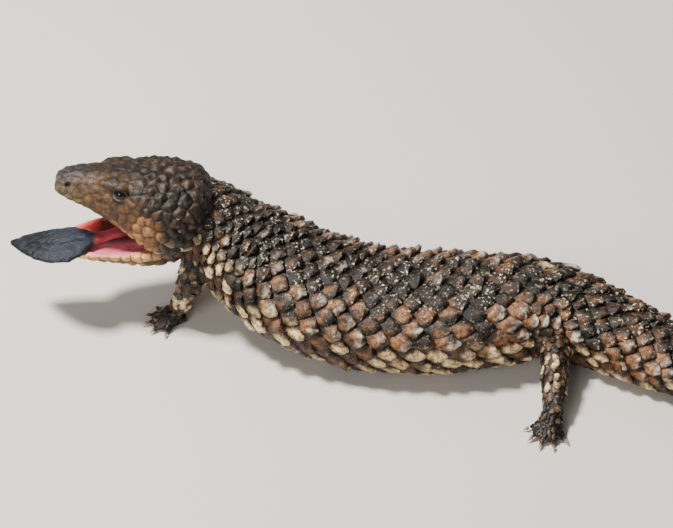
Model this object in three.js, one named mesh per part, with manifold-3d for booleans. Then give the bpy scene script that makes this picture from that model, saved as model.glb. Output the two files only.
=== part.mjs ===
// A shingleback skink, one of the blue-tongued skinks, standing still with its head raised and its
// mouth open over a blue tongue. Millimetres, +Z up. The head points to -X, the animal's left side
// to -Y, and the origin is on the flat of the belly, on the floor under the middle of the trunk.
import * as THREE from "three";
import { mergeVertices } from "three/addons/utils/BufferGeometryUtils.js";
import Module from "manifold-3d";

const wasm = await Module();
wasm.setup();

const GAP = 0.3; // between two parts that meet
const BIG = 400; // side of the block that is cut away under the floor
const WELD = 1e-4;

// The axis of the body from the neck to the tip of the tail. x, y and z place the axis, wide is half
// the width there, rise is the back's height over the axis and drop is the belly's depth under it.
const BODY = [
  { x: -108, y: 32.5, z: 60, wide: 21, rise: 17, drop: 16 },
  { x: -99, y: 32, z: 54.5, wide: 24, rise: 18.5, drop: 17 },
  { x: -91, y: 30.5, z: 48.5, wide: 25.6, rise: 19.5, drop: 16.5 },
  { x: -83, y: 27.5, z: 42.4, wide: 28, rise: 20.5, drop: 17.5 },
  { x: -70, y: 21.5, z: 35, wide: 32, rise: 22, drop: 19.8 },
  { x: -50, y: 12, z: 28, wide: 36, rise: 23, drop: 22.5 },
  { x: -25, y: 4.5, z: 23, wide: 37.5, rise: 23, drop: 23.5 },
  { x: 0, y: 1, z: 22, wide: 37.2, rise: 22.5, drop: 23 },
  { x: 25, y: 0, z: 22, wide: 36, rise: 22, drop: 23 },
  { x: 50, y: 2.5, z: 21.5, wide: 32.5, rise: 21, drop: 22.5 },
  { x: 66, y: 4.5, z: 20.5, wide: 29, rise: 20, drop: 21.5 },
  { x: 81, y: 2.5, z: 19, wide: 26.5, rise: 18.5, drop: 20 },
  { x: 100, y: -7, z: 17, wide: 23.6, rise: 16.5, drop: 18 },
  { x: 118, y: -17.5, z: 15.5, wide: 22, rise: 15, drop: 16.5 },
  { x: 133, y: -26.5, z: 14, wide: 19.5, rise: 13.5, drop: 14.8 },
  { x: 145, y: -34, z: 12, wide: 15.5, rise: 11, drop: 12.6 },
  { x: 154, y: -39.5, z: 9.5, wide: 10, rise: 7.5, drop: 9.8 },
  { x: 160, y: -43, z: 7.5, wide: 4.5, rise: 4, drop: 4.5 },
];
const BELLY_SQUARE = 2.5; // exponent of the belly's curve: 2 is an ellipse, more is flatter
const BACK_SQUARE = 2.1;
const BODY_SIDES = 24;

// Shares of the way along the axis at which the body is parted into lengths.
const LENGTHS = {
  neck: [0, 0.115, 3],
  trunk_front: [0.115, 0.33, 5],
  trunk_middle: [0.33, 0.52, 5],
  trunk_rear: [0.52, 0.7, 5],
  tail_base: [0.7, 0.865, 4],
  tail_tip: [0.865, 1, 6],
};

// The head, in its own frame: x runs back from the snout tip, y to the right and z up from the lips.
const HEAD_PLACE = { x: -170, y: 32, z: 77 };
const HEAD_PITCH = 10; // degrees, snout up
const HEAD_ROLL = -12; // degrees, left side up
const HEAD_YAW = 0; // degrees
const HEAD = [
  { x: 0.0, wide: 4.0, rise: 4.5, drop: 2.0 },
  { x: 2.0, wide: 7.2, rise: 7.2, drop: 3.0 },
  { x: 7.0, wide: 9.6, rise: 9.8, drop: 4.2 },
  { x: 15.0, wide: 12.2, rise: 11.4, drop: 6.0 },
  { x: 24.0, wide: 15.2, rise: 13.0, drop: 9.4 },
  { x: 33.0, wide: 18.4, rise: 14.6, drop: 13.8 },
  { x: 42.0, wide: 22.0, rise: 15.6, drop: 18.4 },
  { x: 50.0, wide: 24.4, rise: 16.0, drop: 21.6 },
  { x: 58.0, wide: 25.2, rise: 15.8, drop: 23.0 },
  { x: 65.0, wide: 24.2, rise: 15.0, drop: 22.0 },
  { x: 71.0, wide: 21.0, rise: 13.6, drop: 18.5 },
  { x: 75.0, wide: 14.0, rise: 9.5, drop: 13.0 },
];
const HEAD_SQUARE = 2.5;
const LIP_SQUARE = 3.6; // the upper jaw's own sides are nearly upright

// The hollow of the upper jaw, in the head's frame. mid is the height of its section's widest line.
const PALATE = [
  { x: 4.5, mid: -4.0, wide: 4.0, rise: 1.2, drop: 6 },
  { x: 8.0, mid: -4.6, wide: 6.6, rise: 2.6, drop: 7 },
  { x: 16.0, mid: -6.6, wide: 9.4, rise: 4.2, drop: 9 },
  { x: 25.0, mid: -10.0, wide: 12.4, rise: 5.6, drop: 10 },
  { x: 34.0, mid: -14.6, wide: 15.6, rise: 7.4, drop: 10 },
  { x: 43.0, mid: -19.2, wide: 18.4, rise: 9.0, drop: 10 },
  { x: 51.0, mid: -22.6, wide: 17.5, rise: 9.4, drop: 10 },
  { x: 58.0, mid: -23.6, wide: 11.0, rise: 7.0, drop: 8 },
];
const HEAD_SIDES = 24;

// The lower jaw hangs from its hinge behind the corner of the mouth.
const JAW_HINGE = { x: 57, z: -18 };
const GAPE = 15; // degrees
const JAW_ROLL = 9; // degrees, right side up
const JAW = [
  { x: 6.0, wide: 6.0, rise: 0.0, drop: 2.8 },
  { x: 8.5, wide: 10.2, rise: 0.0, drop: 4.8 },
  { x: 14.0, wide: 13.6, rise: 0.0, drop: 6.6 },
  { x: 22.0, wide: 16.0, rise: 0.0, drop: 8.0 },
  { x: 32.0, wide: 18.2, rise: 0.0, drop: 9.4 },
  { x: 42.0, wide: 19.8, rise: 0.5, drop: 10.4 },
  { x: 52.0, wide: 21.0, rise: 1.5, drop: 11.0 },
  { x: 61.0, wide: 20.0, rise: 2.0, drop: 10.0 },
  { x: 67.0, wide: 16.0, rise: 1.5, drop: 7.5 },
  { x: 71.0, wide: 8.0, rise: 0.5, drop: 3.5 },
];
const JAW_SIDES = 16;

const EYE = { x: 33, y: 14.1, z: 7, radius: 4.1 };
const BROW = { x: 33, y: 10.8, z: 9.9, long: 12, wide: 5.6, high: 3.5 };
const NOSTRIL = { x: 6.6, y: 8.6, z: 4.6, radius: 1.1, deep: 3 };
const EAR = { x: 62, y: 26.5, z: -3, long: 2.2, deep: 3.4, high: 3.6 };
const JOWL = { x: 57, y: 13.6, z: -12.5, long: 13, wide: 10.5, high: 11.5 };

// The tongue: its own axis in the row's frame, from the root on the mouth's floor to the tip.
const TONGUE = [
  { x: -118, y: 32.5, z: 49.8, wide: 6, thick: 2.6 },
  { x: -128, y: 31.8, z: 49.0, wide: 5.2, thick: 2.6 },
  { x: -138, y: 29.8, z: 48.2, wide: 4, thick: 2.3 },
  { x: -146, y: 26.4, z: 47.9, wide: 3.4, thick: 2.1 },
  { x: -152, y: 22.8, z: 48.3, wide: 4.2, thick: 2.1 },
  { x: -157, y: 20.2, z: 48.6, wide: 9, thick: 2.4 },
  { x: -165, y: 19.2, z: 47.8, wide: 13, thick: 2.7 },
  { x: -176, y: 20.4, z: 46, wide: 12.2, thick: 2.4 },
  { x: -186, y: 23.2, z: 44.2, wide: 8, thick: 1.9 },
  { x: -193, y: 26.2, z: 42.6, wide: 3.4, thick: 1.3 },
  { x: -196, y: 27.4, z: 41.8, wide: 1.3, thick: 0.8 },
];
const TONGUE_TILT = 2; // degrees, left edge down

// Each leg: its three joints in the row's frame with the limb's half thickness there, the way the
// foot points in degrees from -X towards the animal's left, and the size of its toes.
const LEGS = {
  front_left: {
    joints: [
      { x: -99, y: 16, z: 43, thick: 10.5 },
      { x: -106, y: 9, z: 27, thick: 7.2 },
      { x: -112, y: 15, z: 8.5, thick: 6 },
    ],
    heading: 20,
    side: -1,
    toe: 5.5,
  },
  front_right: {
    joints: [
      { x: -92, y: 46, z: 43, thick: 10.5 },
      { x: -93, y: 57, z: 27, thick: 7.4 },
      { x: -96, y: 54, z: 8.5, thick: 6 },
    ],
    heading: -10,
    side: 1,
    toe: 5.5,
  },
  hind_left: {
    joints: [
      { x: 78, y: -9, z: 18, thick: 12 },
      { x: 74.5, y: -31, z: 17.5, thick: 7.8 },
      { x: 72.5, y: -56, z: 8, thick: 6 },
    ],
    heading: 68,
    side: -1,
    toe: 5.2,
  },
  hind_right: {
    joints: [
      { x: 78, y: 14, z: 18, thick: 12 },
      { x: 66, y: 33, z: 17.5, thick: 7.8 },
      { x: 59, y: 42, z: 8, thick: 6 },
    ],
    heading: -10,
    side: 1,
    toe: 6,
  },
};
const LIMB_SIDES = 10;
const TOE_SPREAD = [-62, -31, -4, 24, 58]; // degrees from the foot's heading
const TOE_LENGTH = [0.8, 1.05, 1.2, 1.1, 0.85]; // shares of the leg's toe length
const TOE_THICK = 2.7;
const CLAW = { long: 3.2, thick: 1.1 };

const COLOURS = {
  back: 0x3a332e,
  flank: 0x5a4a3c,
  head: 0x5c4c3f,
  jaw: 0xc9a77c,
  leg: 0x4a4138,
  tongue: 0x2d3b4e,
  eye: 0x15110e,
  claw: 0xb7a78c,
};

const smooth = (a, b, t) => a + (b - a) * t;

// The stations of a loft as a smooth function of a share from 0 to 1: a Catmull-Rom spline through
// each named value.
function blendStations(stations, keys) {
  const curves = [];
  for (let k = 0; k < keys.length; k += 3) {
    const trio = [0, 1, 2].map((i) => keys[k + i]);
    curves.push(
      new THREE.CatmullRomCurve3(
        stations.map(
          (s) => new THREE.Vector3(...trio.map((name) => s[name] ?? 0)),
        ),
        false,
        "centripetal",
      ),
    );
  }
  return (share) => {
    const out = {};
    curves.forEach((curve, c) => {
      const p = curve.getPoint(THREE.MathUtils.clamp(share, 0, 1));
      [p.x, p.y, p.z].forEach((value, i) => {
        const name = keys[3 * c + i];
        if (name) out[name] = value;
      });
    });
    return out;
  };
}

// A closed tube whose rings are placed by ring(share, angle), from a capped cylinder.
function loft(sides, rings, ring) {
  const geometry = new THREE.CylinderGeometry(1, 1, 1, sides, rings);
  const spots = geometry.getAttribute("position");
  const spot = new THREE.Vector3();
  for (let i = 0; i < spots.count; i++) {
    spot.fromBufferAttribute(spots, i);
    const reach = Math.hypot(spot.x, spot.z);
    const angle = Math.atan2(spot.z, spot.x);
    const place = ring(0.5 - spot.y, angle, reach);
    spots.setXYZ(i, place.x, place.y, place.z);
  }
  return geometry;
}

// The point at an angle on a rounded square section: c across, s up, with its own half sizes.
function sectionPoint(angle, wide, rise, drop, squareUp, squareDown) {
  const c = Math.cos(angle);
  const s = Math.sin(angle);
  const power = 2 / (s > 0 ? squareUp : squareDown);
  return {
    across: Math.sign(c) * Math.abs(c) ** power * wide,
    up: Math.sign(s) * Math.abs(s) ** power * (s > 0 ? rise : drop),
  };
}

// A three.js geometry as a solid.
function solid(geometry) {
  const bare = geometry.clone();
  bare.deleteAttribute("normal");
  bare.deleteAttribute("uv");
  const merged = mergeVertices(bare, WELD);
  return outward(
    new wasm.Manifold(
      new wasm.Mesh({
        numProp: 3,
        vertProperties: merged.getAttribute("position").array,
        triVerts: new Uint32Array(merged.index.array),
      }),
    ),
    merged,
  );
}

// The same solid with its faces turned round if they point inwards.
function outward(made, merged) {
  if (made.volume() >= 0) return made;
  const turned = new Uint32Array(merged.index.array);
  for (let i = 0; i < turned.length; i += 3) {
    [turned[i + 1], turned[i + 2]] = [turned[i + 2], turned[i + 1]];
  }
  return new wasm.Manifold(
    new wasm.Mesh({
      numProp: 3,
      vertProperties: merged.getAttribute("position").array,
      triVerts: turned,
    }),
  );
}

const join = (...pieces) => pieces.reduce((a, b) => a.add(b));

// What is over the floor, so that whatever rests on it has a small flat there.
function overFloor(piece) {
  const floor = new THREE.BoxGeometry(BIG * 2, BIG * 2, BIG);
  floor.translate(0, 0, -BIG / 2);
  return piece.subtract(solid(floor));
}

// An ellipsoid with three half sizes.
function ellipsoid(x, y, z, long, wide, high, fine = 10) {
  const ball = new THREE.SphereGeometry(1, fine, Math.round(fine * 0.6));
  ball.scale(long, wide, high);
  ball.translate(x, y, z);
  return ball;
}

const bodyAt = blendStations(BODY, ["x", "y", "z", "wide", "rise", "drop"]);

// The body between two shares of its axis. grow makes it a little larger all round.
function bodyLength(from, to, rings, grow = 0) {
  const step = 0.002;
  return loft(BODY_SIDES, rings, (share, angle, reach) => {
    const t = smooth(from, to, share);
    const here = bodyAt(t);
    const behind = bodyAt(t - step);
    const ahead = bodyAt(t + step);
    const along = new THREE.Vector3(
      ahead.x - behind.x,
      ahead.y - behind.y,
      ahead.z - behind.z,
    ).normalize();
    const across = new THREE.Vector3(0, 0, 1).cross(along).normalize();
    const up = along.clone().cross(across);
    const p = sectionPoint(
      angle,
      here.wide + grow,
      here.rise + grow,
      here.drop + grow,
      BACK_SQUARE,
      BELLY_SQUARE,
    );
    return new THREE.Vector3(here.x, here.y, here.z)
      .addScaledVector(across, p.across * reach)
      .addScaledVector(up, p.up * reach);
  });
}

// A loft along x in the head's frame.
function headLoft(stations, sides, rings, grow, squareUp, squareDown) {
  const at = blendStations(stations, ["x", "wide", "rise", "drop", "mid"]);
  return loft(sides, rings, (share, angle, reach) => {
    const here = at(share);
    const p = sectionPoint(
      angle,
      here.wide + grow,
      here.rise + grow,
      here.drop + grow,
      squareUp,
      squareDown,
    );
    const end = share === 0 ? -grow : share === 1 ? grow : 0;
    return new THREE.Vector3(
      here.x + end,
      p.across * reach,
      here.mid + p.up * reach,
    );
  });
}

const headTurn = new THREE.Matrix4().compose(
  new THREE.Vector3(HEAD_PLACE.x, HEAD_PLACE.y, HEAD_PLACE.z),
  new THREE.Quaternion().setFromEuler(
    new THREE.Euler(
      THREE.MathUtils.degToRad(HEAD_ROLL),
      THREE.MathUtils.degToRad(HEAD_PITCH),
      THREE.MathUtils.degToRad(HEAD_YAW),
      "ZYX",
    ),
  ),
  new THREE.Vector3(1, 1, 1),
);
const jawTurn = headTurn
  .clone()
  .multiply(new THREE.Matrix4().makeTranslation(JAW_HINGE.x, 0, JAW_HINGE.z))
  .multiply(
    new THREE.Matrix4().makeRotationY(-THREE.MathUtils.degToRad(GAPE)),
  )
  .multiply(
    new THREE.Matrix4().makeRotationX(THREE.MathUtils.degToRad(JAW_ROLL)),
  )
  .multiply(new THREE.Matrix4().makeTranslation(-JAW_HINGE.x, 0, 0));

const placed = (geometry, turn) => solid(geometry.applyMatrix4(turn));

// The lower jaw: a shallow trough with a rounded rim.
function lowerJaw(grow = 0) {
  const bowl = placed(
    headLoft(JAW, JAW_SIDES, 10, grow, 2.2, 2.6),
    jawTurn,
  );
  const floor = ellipsoid(37, 0, 1.6, 30 - grow, 16.5 - grow, 6.4 - grow, 10);
  return bowl.subtract(placed(floor, jawTurn));
}

// The skull with the upper jaw, the jowls and the brows.
function headWhole(grow = 0) {
  const skull = placed(
    headLoft(HEAD, HEAD_SIDES, 14, grow, HEAD_SQUARE, LIP_SQUARE),
    headTurn,
  );
  const sides = [-1, 1].flatMap((side) => [
    placed(
      ellipsoid(
        BROW.x,
        side * BROW.y,
        BROW.z,
        BROW.long + grow,
        BROW.wide + grow,
        BROW.high + grow,
      ),
      headTurn,
    ),
    placed(
      ellipsoid(
        JOWL.x,
        side * JOWL.y,
        JOWL.z,
        JOWL.long + grow,
        JOWL.wide + grow,
        JOWL.high + grow,
        10,
      ),
      headTurn,
    ),
  ]);
  return join(skull, ...sides);
}

// The head without the space of the open mouth, the nostrils, the ears and the eyes' sockets.
function head() {
  const palate = placed(headLoft(PALATE, 14, 7, 0, 2.2, 2.2), headTurn);
  let made = headWhole().subtract(palate);
  for (const side of [-1, 1]) {
    const socket = ellipsoid(
      EYE.x,
      side * EYE.y,
      EYE.z,
      EYE.radius + GAP,
      EYE.radius + GAP,
      EYE.radius + GAP,
      10,
    );
    const ear = ellipsoid(
      EAR.x,
      side * EAR.y,
      EAR.z,
      EAR.long,
      EAR.deep,
      EAR.high,
      8,
    );
    const nostril = new THREE.CylinderGeometry(
      NOSTRIL.radius,
      NOSTRIL.radius * 0.7,
      NOSTRIL.deep,
      8,
    );
    if (side < 0) nostril.rotateX(Math.PI);
    nostril.translate(NOSTRIL.x, side * NOSTRIL.y, NOSTRIL.z);
    for (const hole of [socket, ear, nostril]) {
      made = made.subtract(placed(hole, headTurn));
    }
  }
  return made;
}

// The tongue, a broad flat leaf that curls down at its tip.
function tongue(grow = 0) {
  const at = blendStations(TONGUE, ["x", "y", "z", "wide", "thick"]);
  const tilt = THREE.MathUtils.degToRad(TONGUE_TILT);
  return solid(
    loft(12, 12, (share, angle, reach) => {
      const here = at(share);
      const next = at(share + 0.02);
      const last = at(share - 0.02);
      const along = new THREE.Vector3(
        next.x - last.x,
        next.y - last.y,
        next.z - last.z,
      ).normalize();
      const across = new THREE.Vector3(0, Math.cos(tilt), Math.sin(tilt));
      const up = across.clone().cross(along).normalize();
      const p = sectionPoint(
        angle,
        here.wide + grow,
        here.thick + grow,
        here.thick + grow,
        2.2,
        2.2,
      );
      return new THREE.Vector3(here.x, here.y, here.z)
        .addScaledVector(across, p.across * reach)
        .addScaledVector(up, p.up * reach);
    }),
  );
}

// A limb between two joints, with round ends.
function limb(from, to, grow = 0, sides = LIMB_SIDES, rings = 6) {
  const a = new THREE.Vector3(from.x, from.y, from.z);
  const b = new THREE.Vector3(to.x, to.y, to.z);
  const along = b.clone().sub(a).normalize();
  const turn = new THREE.Quaternion().setFromUnitVectors(
    new THREE.Vector3(0, 1, 0),
    along,
  );
  const long = a.distanceTo(b);
  return solid(
    loft(sides, rings, (share, angle, reach) => {
      const bend = Math.PI * (share - 0.5);
      const round = Math.cos(bend) * 0.98 + 0.02;
      const thick = smooth(from.thick, to.thick, share) + grow;
      const body = Math.min(1, 1.5 * round) ** 0.6;
      const y =
        share < 0.5
          ? smooth(-from.thick - grow, long * 0.5, share * 2)
          : smooth(long * 0.5, long + to.thick + grow, share * 2 - 1);
      return new THREE.Vector3(
        Math.cos(angle) * thick * body * reach,
        y,
        Math.sin(angle) * thick * body * reach,
      )
        .applyQuaternion(turn)
        .add(a);
    }),
  );
}

// A foot: a low palm with five spread toes. claws holds where each claw goes.
function foot(leg, grow = 0) {
  const ankle = leg.joints[2];
  const heading = THREE.MathUtils.degToRad(leg.heading);
  const forward = new THREE.Vector3(-Math.cos(heading), -Math.sin(heading), 0);
  const palm = ellipsoid(0, 0, 0, 8.2 + grow, 6.6 + grow, 5.2 + grow, 10);
  palm.rotateZ(heading);
  palm.translate(
    ankle.x + forward.x * 4,
    ankle.y + forward.y * 4,
    4.2,
  );
  const toes = [];
  const claws = [];
  TOE_SPREAD.forEach((spread, i) => {
    const turn = heading + leg.side * THREE.MathUtils.degToRad(-spread);
    const way = new THREE.Vector3(-Math.cos(turn), -Math.sin(turn), 0);
    const long = leg.toe * TOE_LENGTH[i];
    const root = new THREE.Vector3(ankle.x, ankle.y, 0)
      .addScaledVector(forward, 4.5)
      .addScaledVector(way, 4.5);
    const tip = root.clone().addScaledVector(way, long);
    toes.push(
      limb(
        { x: root.x, y: root.y, z: 3.4, thick: TOE_THICK + 0.4 },
        { x: tip.x, y: tip.y, z: 2.3, thick: TOE_THICK - 0.5 },
        grow,
        6,
        3,
      ),
    );
    claws.push({ tip, way });
  });
  return { made: join(solid(palm), ...toes), claws };
}

// A claw: a short curved cone that comes out of the toe's tip and points down to the floor.
function claw({ tip, way }) {
  const cone = loft(5, 2, (share, angle, reach) => {
    const thick = CLAW.thick * (1 - 0.93 * share) * reach;
    return new THREE.Vector3(
      Math.cos(angle) * thick,
      share * CLAW.long,
      Math.sin(angle) * thick * 1.2 - 1.5 * share * share,
    );
  });
  const shape = new THREE.Mesh(cone);
  shape.position.set(
    tip.x + way.x * (TOE_THICK - 0.9),
    tip.y + way.y * (TOE_THICK - 0.9),
    2.3,
  );
  shape.rotation.z = Math.atan2(-way.x, way.y);
  shape.updateMatrix();
  return solid(cone.applyMatrix4(shape.matrix));
}

// A finished part as a named mesh with its own material.
function part(name, made, colour, roughness) {
  const { vertProperties, triVerts } = made.getMesh();
  const geometry = new THREE.BufferGeometry();
  geometry.setAttribute(
    "position",
    new THREE.BufferAttribute(new Float32Array(vertProperties), 3),
  );
  geometry.setIndex(new THREE.BufferAttribute(triVerts, 1));
  geometry.computeVertexNormals();
  const mesh = new THREE.Mesh(
    geometry,
    new THREE.MeshStandardMaterial({ color: colour, roughness, metalness: 0 }),
  );
  mesh.name = name;
  return mesh;
}

const skink = new THREE.Group();
const share = GAP / 600; // a gap along the axis as a share of its length, halved

// Head, jaw, tongue and eyes.
const jaw = lowerJaw().subtract(headWhole(GAP));
skink.add(part("head", head(), COLOURS.head, 0.6));
skink.add(part("lower_jaw", jaw, COLOURS.jaw, 0.55));
skink.add(
  part(
    "tongue",
    tongue().subtract(headWhole(GAP)).subtract(lowerJaw(GAP)),
    COLOURS.tongue,
    0.35,
  ),
);
for (const [name, side] of [
  ["eye_left", -1],
  ["eye_right", 1],
]) {
  const ball = new THREE.SphereGeometry(EYE.radius, 12, 8);
  ball.translate(EYE.x, side * EYE.y, EYE.z);
  skink.add(part(name, placed(ball, headTurn), COLOURS.eye, 0.1));
}

// Neck, trunk and tail, in lengths along one axis.
const headGrown = headWhole(GAP);
const jawGrown = lowerJaw(GAP);
for (const [name, [from, to, rings]] of Object.entries(LENGTHS)) {
  let made = solid(
    bodyLength(from ? from + share : 0, to < 1 ? to - share : 1, rings),
  );
  if (name === "neck") made = made.subtract(headGrown).subtract(jawGrown);
  skink.add(part(name, overFloor(made), COLOURS.back, 0.7));
}

// The legs, each cut clear of the body and of its own joints.
const bodyGrown = join(
  solid(bodyLength(0, 1, 40, GAP)),
  headGrown,
  jawGrown,
);
for (const [name, leg] of Object.entries(LEGS)) {
  const [root, middle, ankle] = leg.joints;
  const upper = limb(root, middle).subtract(bodyGrown);
  const lower = limb(middle, ankle)
    .subtract(bodyGrown)
    .subtract(limb(root, middle, GAP));
  const paw = foot(leg);
  const sole = paw.made
    .subtract(bodyGrown)
    .subtract(limb(middle, ankle, GAP))
    .subtract(limb(root, middle, GAP));
  skink.add(part(`${name}_upper_leg`, overFloor(upper), COLOURS.leg, 0.7));
  skink.add(part(`${name}_lower_leg`, overFloor(lower), COLOURS.leg, 0.7));
  skink.add(part(`${name}_foot`, overFloor(sole), COLOURS.leg, 0.7));
  const footGrown = foot(leg, GAP).made;
  paw.claws.forEach((place, i) => {
    skink.add(
      part(
        `${name}_claw_${i + 1}`,
        overFloor(claw(place).subtract(footGrown)),
        COLOURS.claw,
        0.4,
      ),
    );
  });
}

export default skink;
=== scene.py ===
"""The looks of a shingleback skink in its open-mouthed threat pose, life size.

One skin covers the flesh. Over it lie the horny scales of the back, belly, tail and legs, the shields of
the head, the lids, the eyes, the tongue and the claws. Sizes are in metres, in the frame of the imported
solids: +X runs to the tail, +Y away from the camera and +Z up.
"""

import itertools
import logging
import math
from collections.abc import Callable
from dataclasses import dataclass, field
from enum import Enum

import bpy
import numpy as np
from mathutils import Matrix, Vector
from mathutils.bvhtree import BVHTree
from mathutils.kdtree import KDTree


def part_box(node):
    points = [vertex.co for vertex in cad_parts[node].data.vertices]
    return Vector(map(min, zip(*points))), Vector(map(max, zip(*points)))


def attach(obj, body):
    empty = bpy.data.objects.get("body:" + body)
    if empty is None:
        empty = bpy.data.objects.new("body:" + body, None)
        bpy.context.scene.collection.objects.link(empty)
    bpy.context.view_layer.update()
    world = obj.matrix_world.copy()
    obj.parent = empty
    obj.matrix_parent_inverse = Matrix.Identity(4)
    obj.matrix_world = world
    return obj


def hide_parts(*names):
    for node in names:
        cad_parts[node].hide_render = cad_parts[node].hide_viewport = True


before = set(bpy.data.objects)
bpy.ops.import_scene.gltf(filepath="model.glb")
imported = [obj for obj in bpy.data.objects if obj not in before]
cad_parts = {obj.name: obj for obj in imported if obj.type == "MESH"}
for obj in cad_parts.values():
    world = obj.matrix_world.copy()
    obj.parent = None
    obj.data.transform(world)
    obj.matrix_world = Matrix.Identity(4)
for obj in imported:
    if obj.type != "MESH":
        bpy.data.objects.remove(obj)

log = logging.getLogger("skink")

Array = np.ndarray
Triple = tuple[float, float, float]
MM = 0.001
FLOOR_GAP = 0.05 * MM
PATCH_SHARE = 0.94
EYE_PLACE = (33.0, 14.1, 7.0)
SIDES = ("left", "right")
LIMBS = ("front_left", "front_right", "hind_left", "hind_right")
BODY_NODES = ("neck", "trunk_front", "trunk_middle", "trunk_rear", "tail_base", "tail_tip")
LIMB_NODES = tuple(f"{limb}_{part}" for limb in LIMBS for part in ("upper_leg", "lower_leg", "foot"))
FLESH_NODES = ("head", "lower_jaw", *BODY_NODES, *LIMB_NODES)


class Slot(Enum):
    """The names of the material slots."""

    HEAD = "head"
    BACK = "back"
    LEG = "leg"
    TONGUE = "tongue"
    EYE = "eye"
    CLAW = "claw"


def shade(red: float, green: float, blue: float) -> Array:
    """A colour as seen on a screen, 0 to 255, as the linear values that shaders use."""
    seen = np.array((red, green, blue)) / 255.0
    return np.where(seen <= 0.04045, seen / 12.92, ((seen + 0.055) / 1.055) ** 2.4)


def ramp(start: float, end: float, value: Array) -> Array:
    """0 before start, 1 past end and soft between them. end may be the lower number, for a fall."""
    share = np.clip((value - start) / (end - start), 0.0, 1.0)
    return share * share * (3.0 - 2.0 * share)


def blend(first: Array, second: Array, share: Array) -> Array:
    """Colours between first and second, by a share for each point."""
    weight = np.asarray(share)[..., None]
    return first * (1.0 - weight) + second * weight


def wrinkle(points: Array, size: float, seed: int) -> Array:
    """Smooth noise in space.

    Args:
        points: Places, in metres, with X, Y and Z last.
        size: Width of one lump, in millimetres.
        seed: Picks another field of the same kind.

    Returns:
        A value from -1 to 1 for each place.
    """
    cells = points / (size * MM)
    base = np.floor(cells).astype(np.int64)
    part = cells - base
    part = part * part * (3.0 - 2.0 * part)
    total = np.zeros(points.shape[:-1])
    for corner in itertools.product((0, 1), repeat=3):
        cell = base + np.array(corner)
        mixed = cell[..., 0] * 73856093 ^ cell[..., 1] * 19349663 ^ cell[..., 2] * 83492791 ^ seed * 6542989
        mixed = (mixed ^ (mixed >> 13)) * 1274126177 & 0x7FFFFFFF
        mixed = (mixed ^ (mixed >> 11)) & 0xFFFF
        weight = np.prod(np.where(np.array(corner) == 1, part, 1.0 - part), axis=-1)
        total += weight * (mixed / 32767.5 - 1.0)
    return total


def patches(points: Array, size: float, seed: int) -> Array:
    """The same noise from 0 to 1."""
    return wrinkle(points, size, seed) * 0.5 + 0.5


def lumps(points: Array, *layers: tuple[float, float, int]) -> Array:
    """The sum of layers of that noise, each given by its size, its height and its seed."""
    return sum(wrinkle(points, size, seed) * height for size, height, seed in layers)


def chance(count: int, seed: int) -> Array:
    """One number from 0 to 1 for each of count pieces, the same in each run."""
    return np.random.default_rng(seed).random(count)


def chances(count: int, seed: int) -> Array:
    """Three such numbers for each of count pieces."""
    return np.stack([chance(count, seed + part) for part in range(3)], axis=-1)


def stations(table: tuple, at: Array) -> tuple[Array, ...]:
    """Every later column of a table of rows, read at values of the first column."""
    rows = np.array(table)
    return tuple(np.interp(at, rows[:, 0], column) for column in rows[:, 1:].T)


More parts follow.
